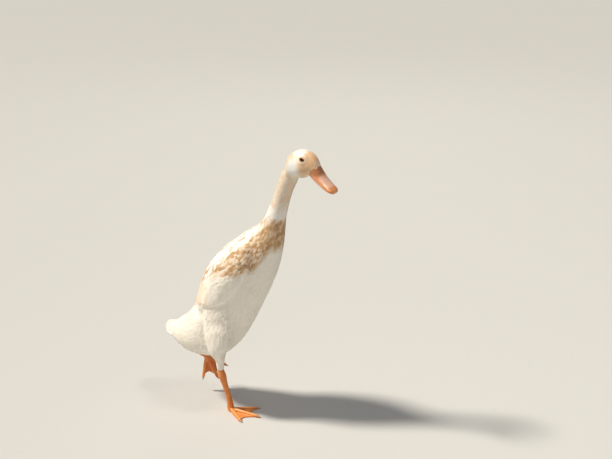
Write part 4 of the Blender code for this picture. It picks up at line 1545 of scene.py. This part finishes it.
def makeLids(side, radius, skinTree, material):
    # rings that rise from the ball to the skin, round an opening with two pointed corners
    around, rings = 72, 14
    axis, along, above = eyeFrame(side)
    centre = Vector(eyeCentre[side])
    length, height = (value * millimetre for value in eyeLook["opening"])
    points, shades = [], []
    for ring in range(rings + 1):
        share = ring / rings
        for step in range(around):
            turn = 2 * math.pi * step / around
            corner = 1 + 0.10 * abs(math.cos(turn)) ** 8  # pointed front and back corners
            grow = share * eyeLook["lidWidth"] * millimetre
            a = (length * corner + grow) * math.cos(turn)
            b = (height + grow) * math.sin(turn)
            flat = math.hypot(a, b)
            onBall = math.sqrt(max((radius + 0.0001) ** 2 - flat**2, 0.0)) if flat < radius else 0.0
            rim = math.exp(-(((share - 0.16) / 0.12) ** 2)) * eyeLook["lidRim"]
            fold = eyeLook["lidFold"] * math.sin(share * 26 + 0.5 * math.sin(3 * turn))
            fold = fold * (1 - share) * min(1.0, share * 6)
            start = centre + along * a + above * b
            hit = skinTree.ray_cast(start + axis * 0.02, -axis, 0.04)
            skinHigh = (hit[0] - centre).dot(axis) if hit[0] is not None else onBall
            blend = float(smoothStep(share, 0.10, 0.85))
            outHigh = onBall * (1 - blend) + (skinHigh + 0.0002 - 0.0009 * share**3) * blend
            points.append(start + axis * (outHigh + rim + fold))
            shades.append(share)
    mesh = bpy.data.meshes.new("eye_lids_" + side)
    faces = []
    for ring in range(rings):
        for step in range(around):
            a, b = ring * around + step, ring * around + (step + 1) % around
            quad = (a, b, b + around, a + around)
            faces.append(quad if side == "right" else quad[::-1])
    mesh.from_pydata(points, [], faces)
    mesh.update()
    mesh.shade_smooth()
    shade = np.array(shades)[:, None]
    edge = 1 - smoothStep(shade, 0.02, 0.22)
    setColours(mesh, "tone", blended(eyeTones["lid"], eyeTones["lidEdge"], edge))
    mesh.materials.append(material)
    piece = newObject("eye_lids_" + side, mesh)
    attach(piece, "root")


# legs, feet and claws
legTones = {
    "orange": srgb(238, 132, 36),
    "pale": srgb(248, 176, 98),
    # pale: for the random paler blotches and for the painted light on the tops of the feet
    "web": srgb(236, 128, 42),
    "claw": srgb(226, 196, 166),
    "clawRoot": srgb(196, 140, 104),
}
legLook = {
    "voxel": 0.75,
    "clawVoxel": 0.35,
    "swell": 0.25,
    "scute": 2.9,  # length and height of the plates down the front
    "scuteHeight": 0.22,
    "pebble": 1.7,  # size of the small scales elsewhere
    # x, y, z of the hock and of the knuckle of the toes
    "right": ((-0.0515, -0.0334, 0.098), (-0.0430, -0.0129, 0.0070)),
    "left": ((-0.0720, 0.0317, 0.131), (-0.1370, 0.0297, 0.0865)),
}
toeNames = ("inner", "middle", "outer", "hind")


def makeLegs(group):
    material = hornMaterial("leg_scales", group, 0.9, 0.00022, 0.12)
    clawMaterial = hornMaterial("claw_horn", group, 0.0, 0.00012, 0.35)
    for side in sides:
        nodes = ["shank_" + side, "foot_" + side, "hind_toe_" + side]
        piece = fused("leg_" + side, nodes, legLook["swell"] * millimetre, legLook["voxel"] * millimetre, 2)
        mesh = piece.data
        points, normals = meshArrays(mesh)
        lines = legLines(side)
        along, away, line = nearestLine(points, lines)
        # scutes across the toes and down the front, pebbles elsewhere
        scute = legLook["scute"] * millimetre
        wave = np.abs(np.sin(np.pi * along / scute))
        plates = 1 - np.clip((0.30 - wave) / 0.30, 0, 1) ** 2
        top = smoothStep(normals[:, 2] if side == "right" else normals[:, 2] * 0.2 + 0.5, 0.0, 0.5)
        shank = line == 0
        onLine = 1 - smoothStep(away, 0.0055, 0.0075)
        share = np.where(shank, 1.0, top * onLine)
        pebble = pebbles(points, legLook["pebble"] * millimetre)
        height = legLook["scuteHeight"] * millimetre
        rise = share * (plates - 1) * height + (1 - share) * (np.minimum(pebble * 3, 1) - 1) * height * 0.6
        floorFree = smoothStep(points[:, 2], 0.0006, 0.003)
        points = points + normals * (rise * floorFree)[:, None]
        points[:, 2] = np.maximum(points[:, 2], 0.0)
        setPoints(mesh, points)
        groove = np.clip(1 - plates, 0, 1) * share
        colour = np.tile(legTones["orange"], (len(points), 1))
        pale = (0.45 * smoothStep(waves(points, 0.010, 31), -0.1, 0.6))[:, None]
        # painted light: the upward-facing parts of the toes and webs are made paler, as if lit from above
        pale = np.maximum(pale, (0.65 * smoothStep(normals[:, 2], 0.2, 0.9) * ~shank)[:, None])
        colour = blended(colour, legTones["pale"], pale)
        web = (smoothStep(away, 0.005, 0.008) * ~shank)[:, None] * 0.7
        colour = blended(colour, legTones["web"], web)
        setColours(mesh, "tone", colour * (1 - 0.25 * groove[:, None]))
        mesh.materials.append(material)
        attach(piece, "root")
        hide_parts(*nodes)
        print(piece.name, len(mesh.polygons), "faces")
        clawNodes = [f"claw_{name}_{side}" for name in toeNames]
        claws = fused("claws_" + side, clawNodes, 0.0, legLook["clawVoxel"] * millimetre, 3)
        points, normals = meshArrays(claws.data)
        tips = np.array([lines[name][-1] for name in toeNames])
        reach = np.min(np.linalg.norm(points[:, None] - tips[None], axis=2), axis=1)
        share = smoothStep(reach, 0.001, 0.006)[:, None]
        setColours(claws.data, "tone", blended(legTones["clawRoot"], legTones["claw"], share))
        claws.data.materials.append(clawMaterial)
        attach(claws, "root")
        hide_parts(*clawNodes)
    print("legs made")


def legLines(side):
    # middle lines of the shank, between the given hock and knuckle, and of each toe, from the knuckle to the
    # middle of its claw's box
    def centre(node):
        low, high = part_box(node)
        return np.array((low + high) / 2)

    hock, knuckle = (np.array(place) for place in legLook[side])
    lines = {"shank": (hock, knuckle)}
    for name in toeNames:
        lines[name] = (knuckle, centre(f"claw_{name}_{side}"))
    return lines


def pebbles(points, size):
    # 0 in the seams between small round scales, and more towards their middles
    found = []
    for point in points:
        near = noise.voronoi(Vector(point) / size)[0]
        found.append(min(near[1] - near[0], 0.5))
    return np.array(found)


def nearestLine(points, lines):
    # how far along the nearest line each point is, how far off it, and which line that is
    best = np.full(len(points), 9.0)
    along, line = np.zeros(len(points)), np.zeros(len(points), int)
    for index, (start, end) in enumerate(lines.values()):
        way = end - start
        long = np.linalg.norm(way)
        t = np.clip((points - start) @ way / long**2, 0, 1)
        away = np.linalg.norm(points - start - t[:, None] * way, axis=1)
        closer = away < best
        best = np.where(closer, away, best)
        along = np.where(closer, t * long, along)
        line = np.where(closer, index, line)
    return along, best, line


# all of it
setCamera()
setStudio()
plumage = plumageGroup()
bareSkin = hornGroup()
skin, skinSurface, lidTree = makeSkin()
skin.data.materials.append(plumageMaterial("skin", plumage))
makeCoat(skinSurface, plumage)
makeQuills(plumage)
makeBill(bareSkin)
makeEyes(lidTree, bareSkin)
makeLegs(bareSkin)
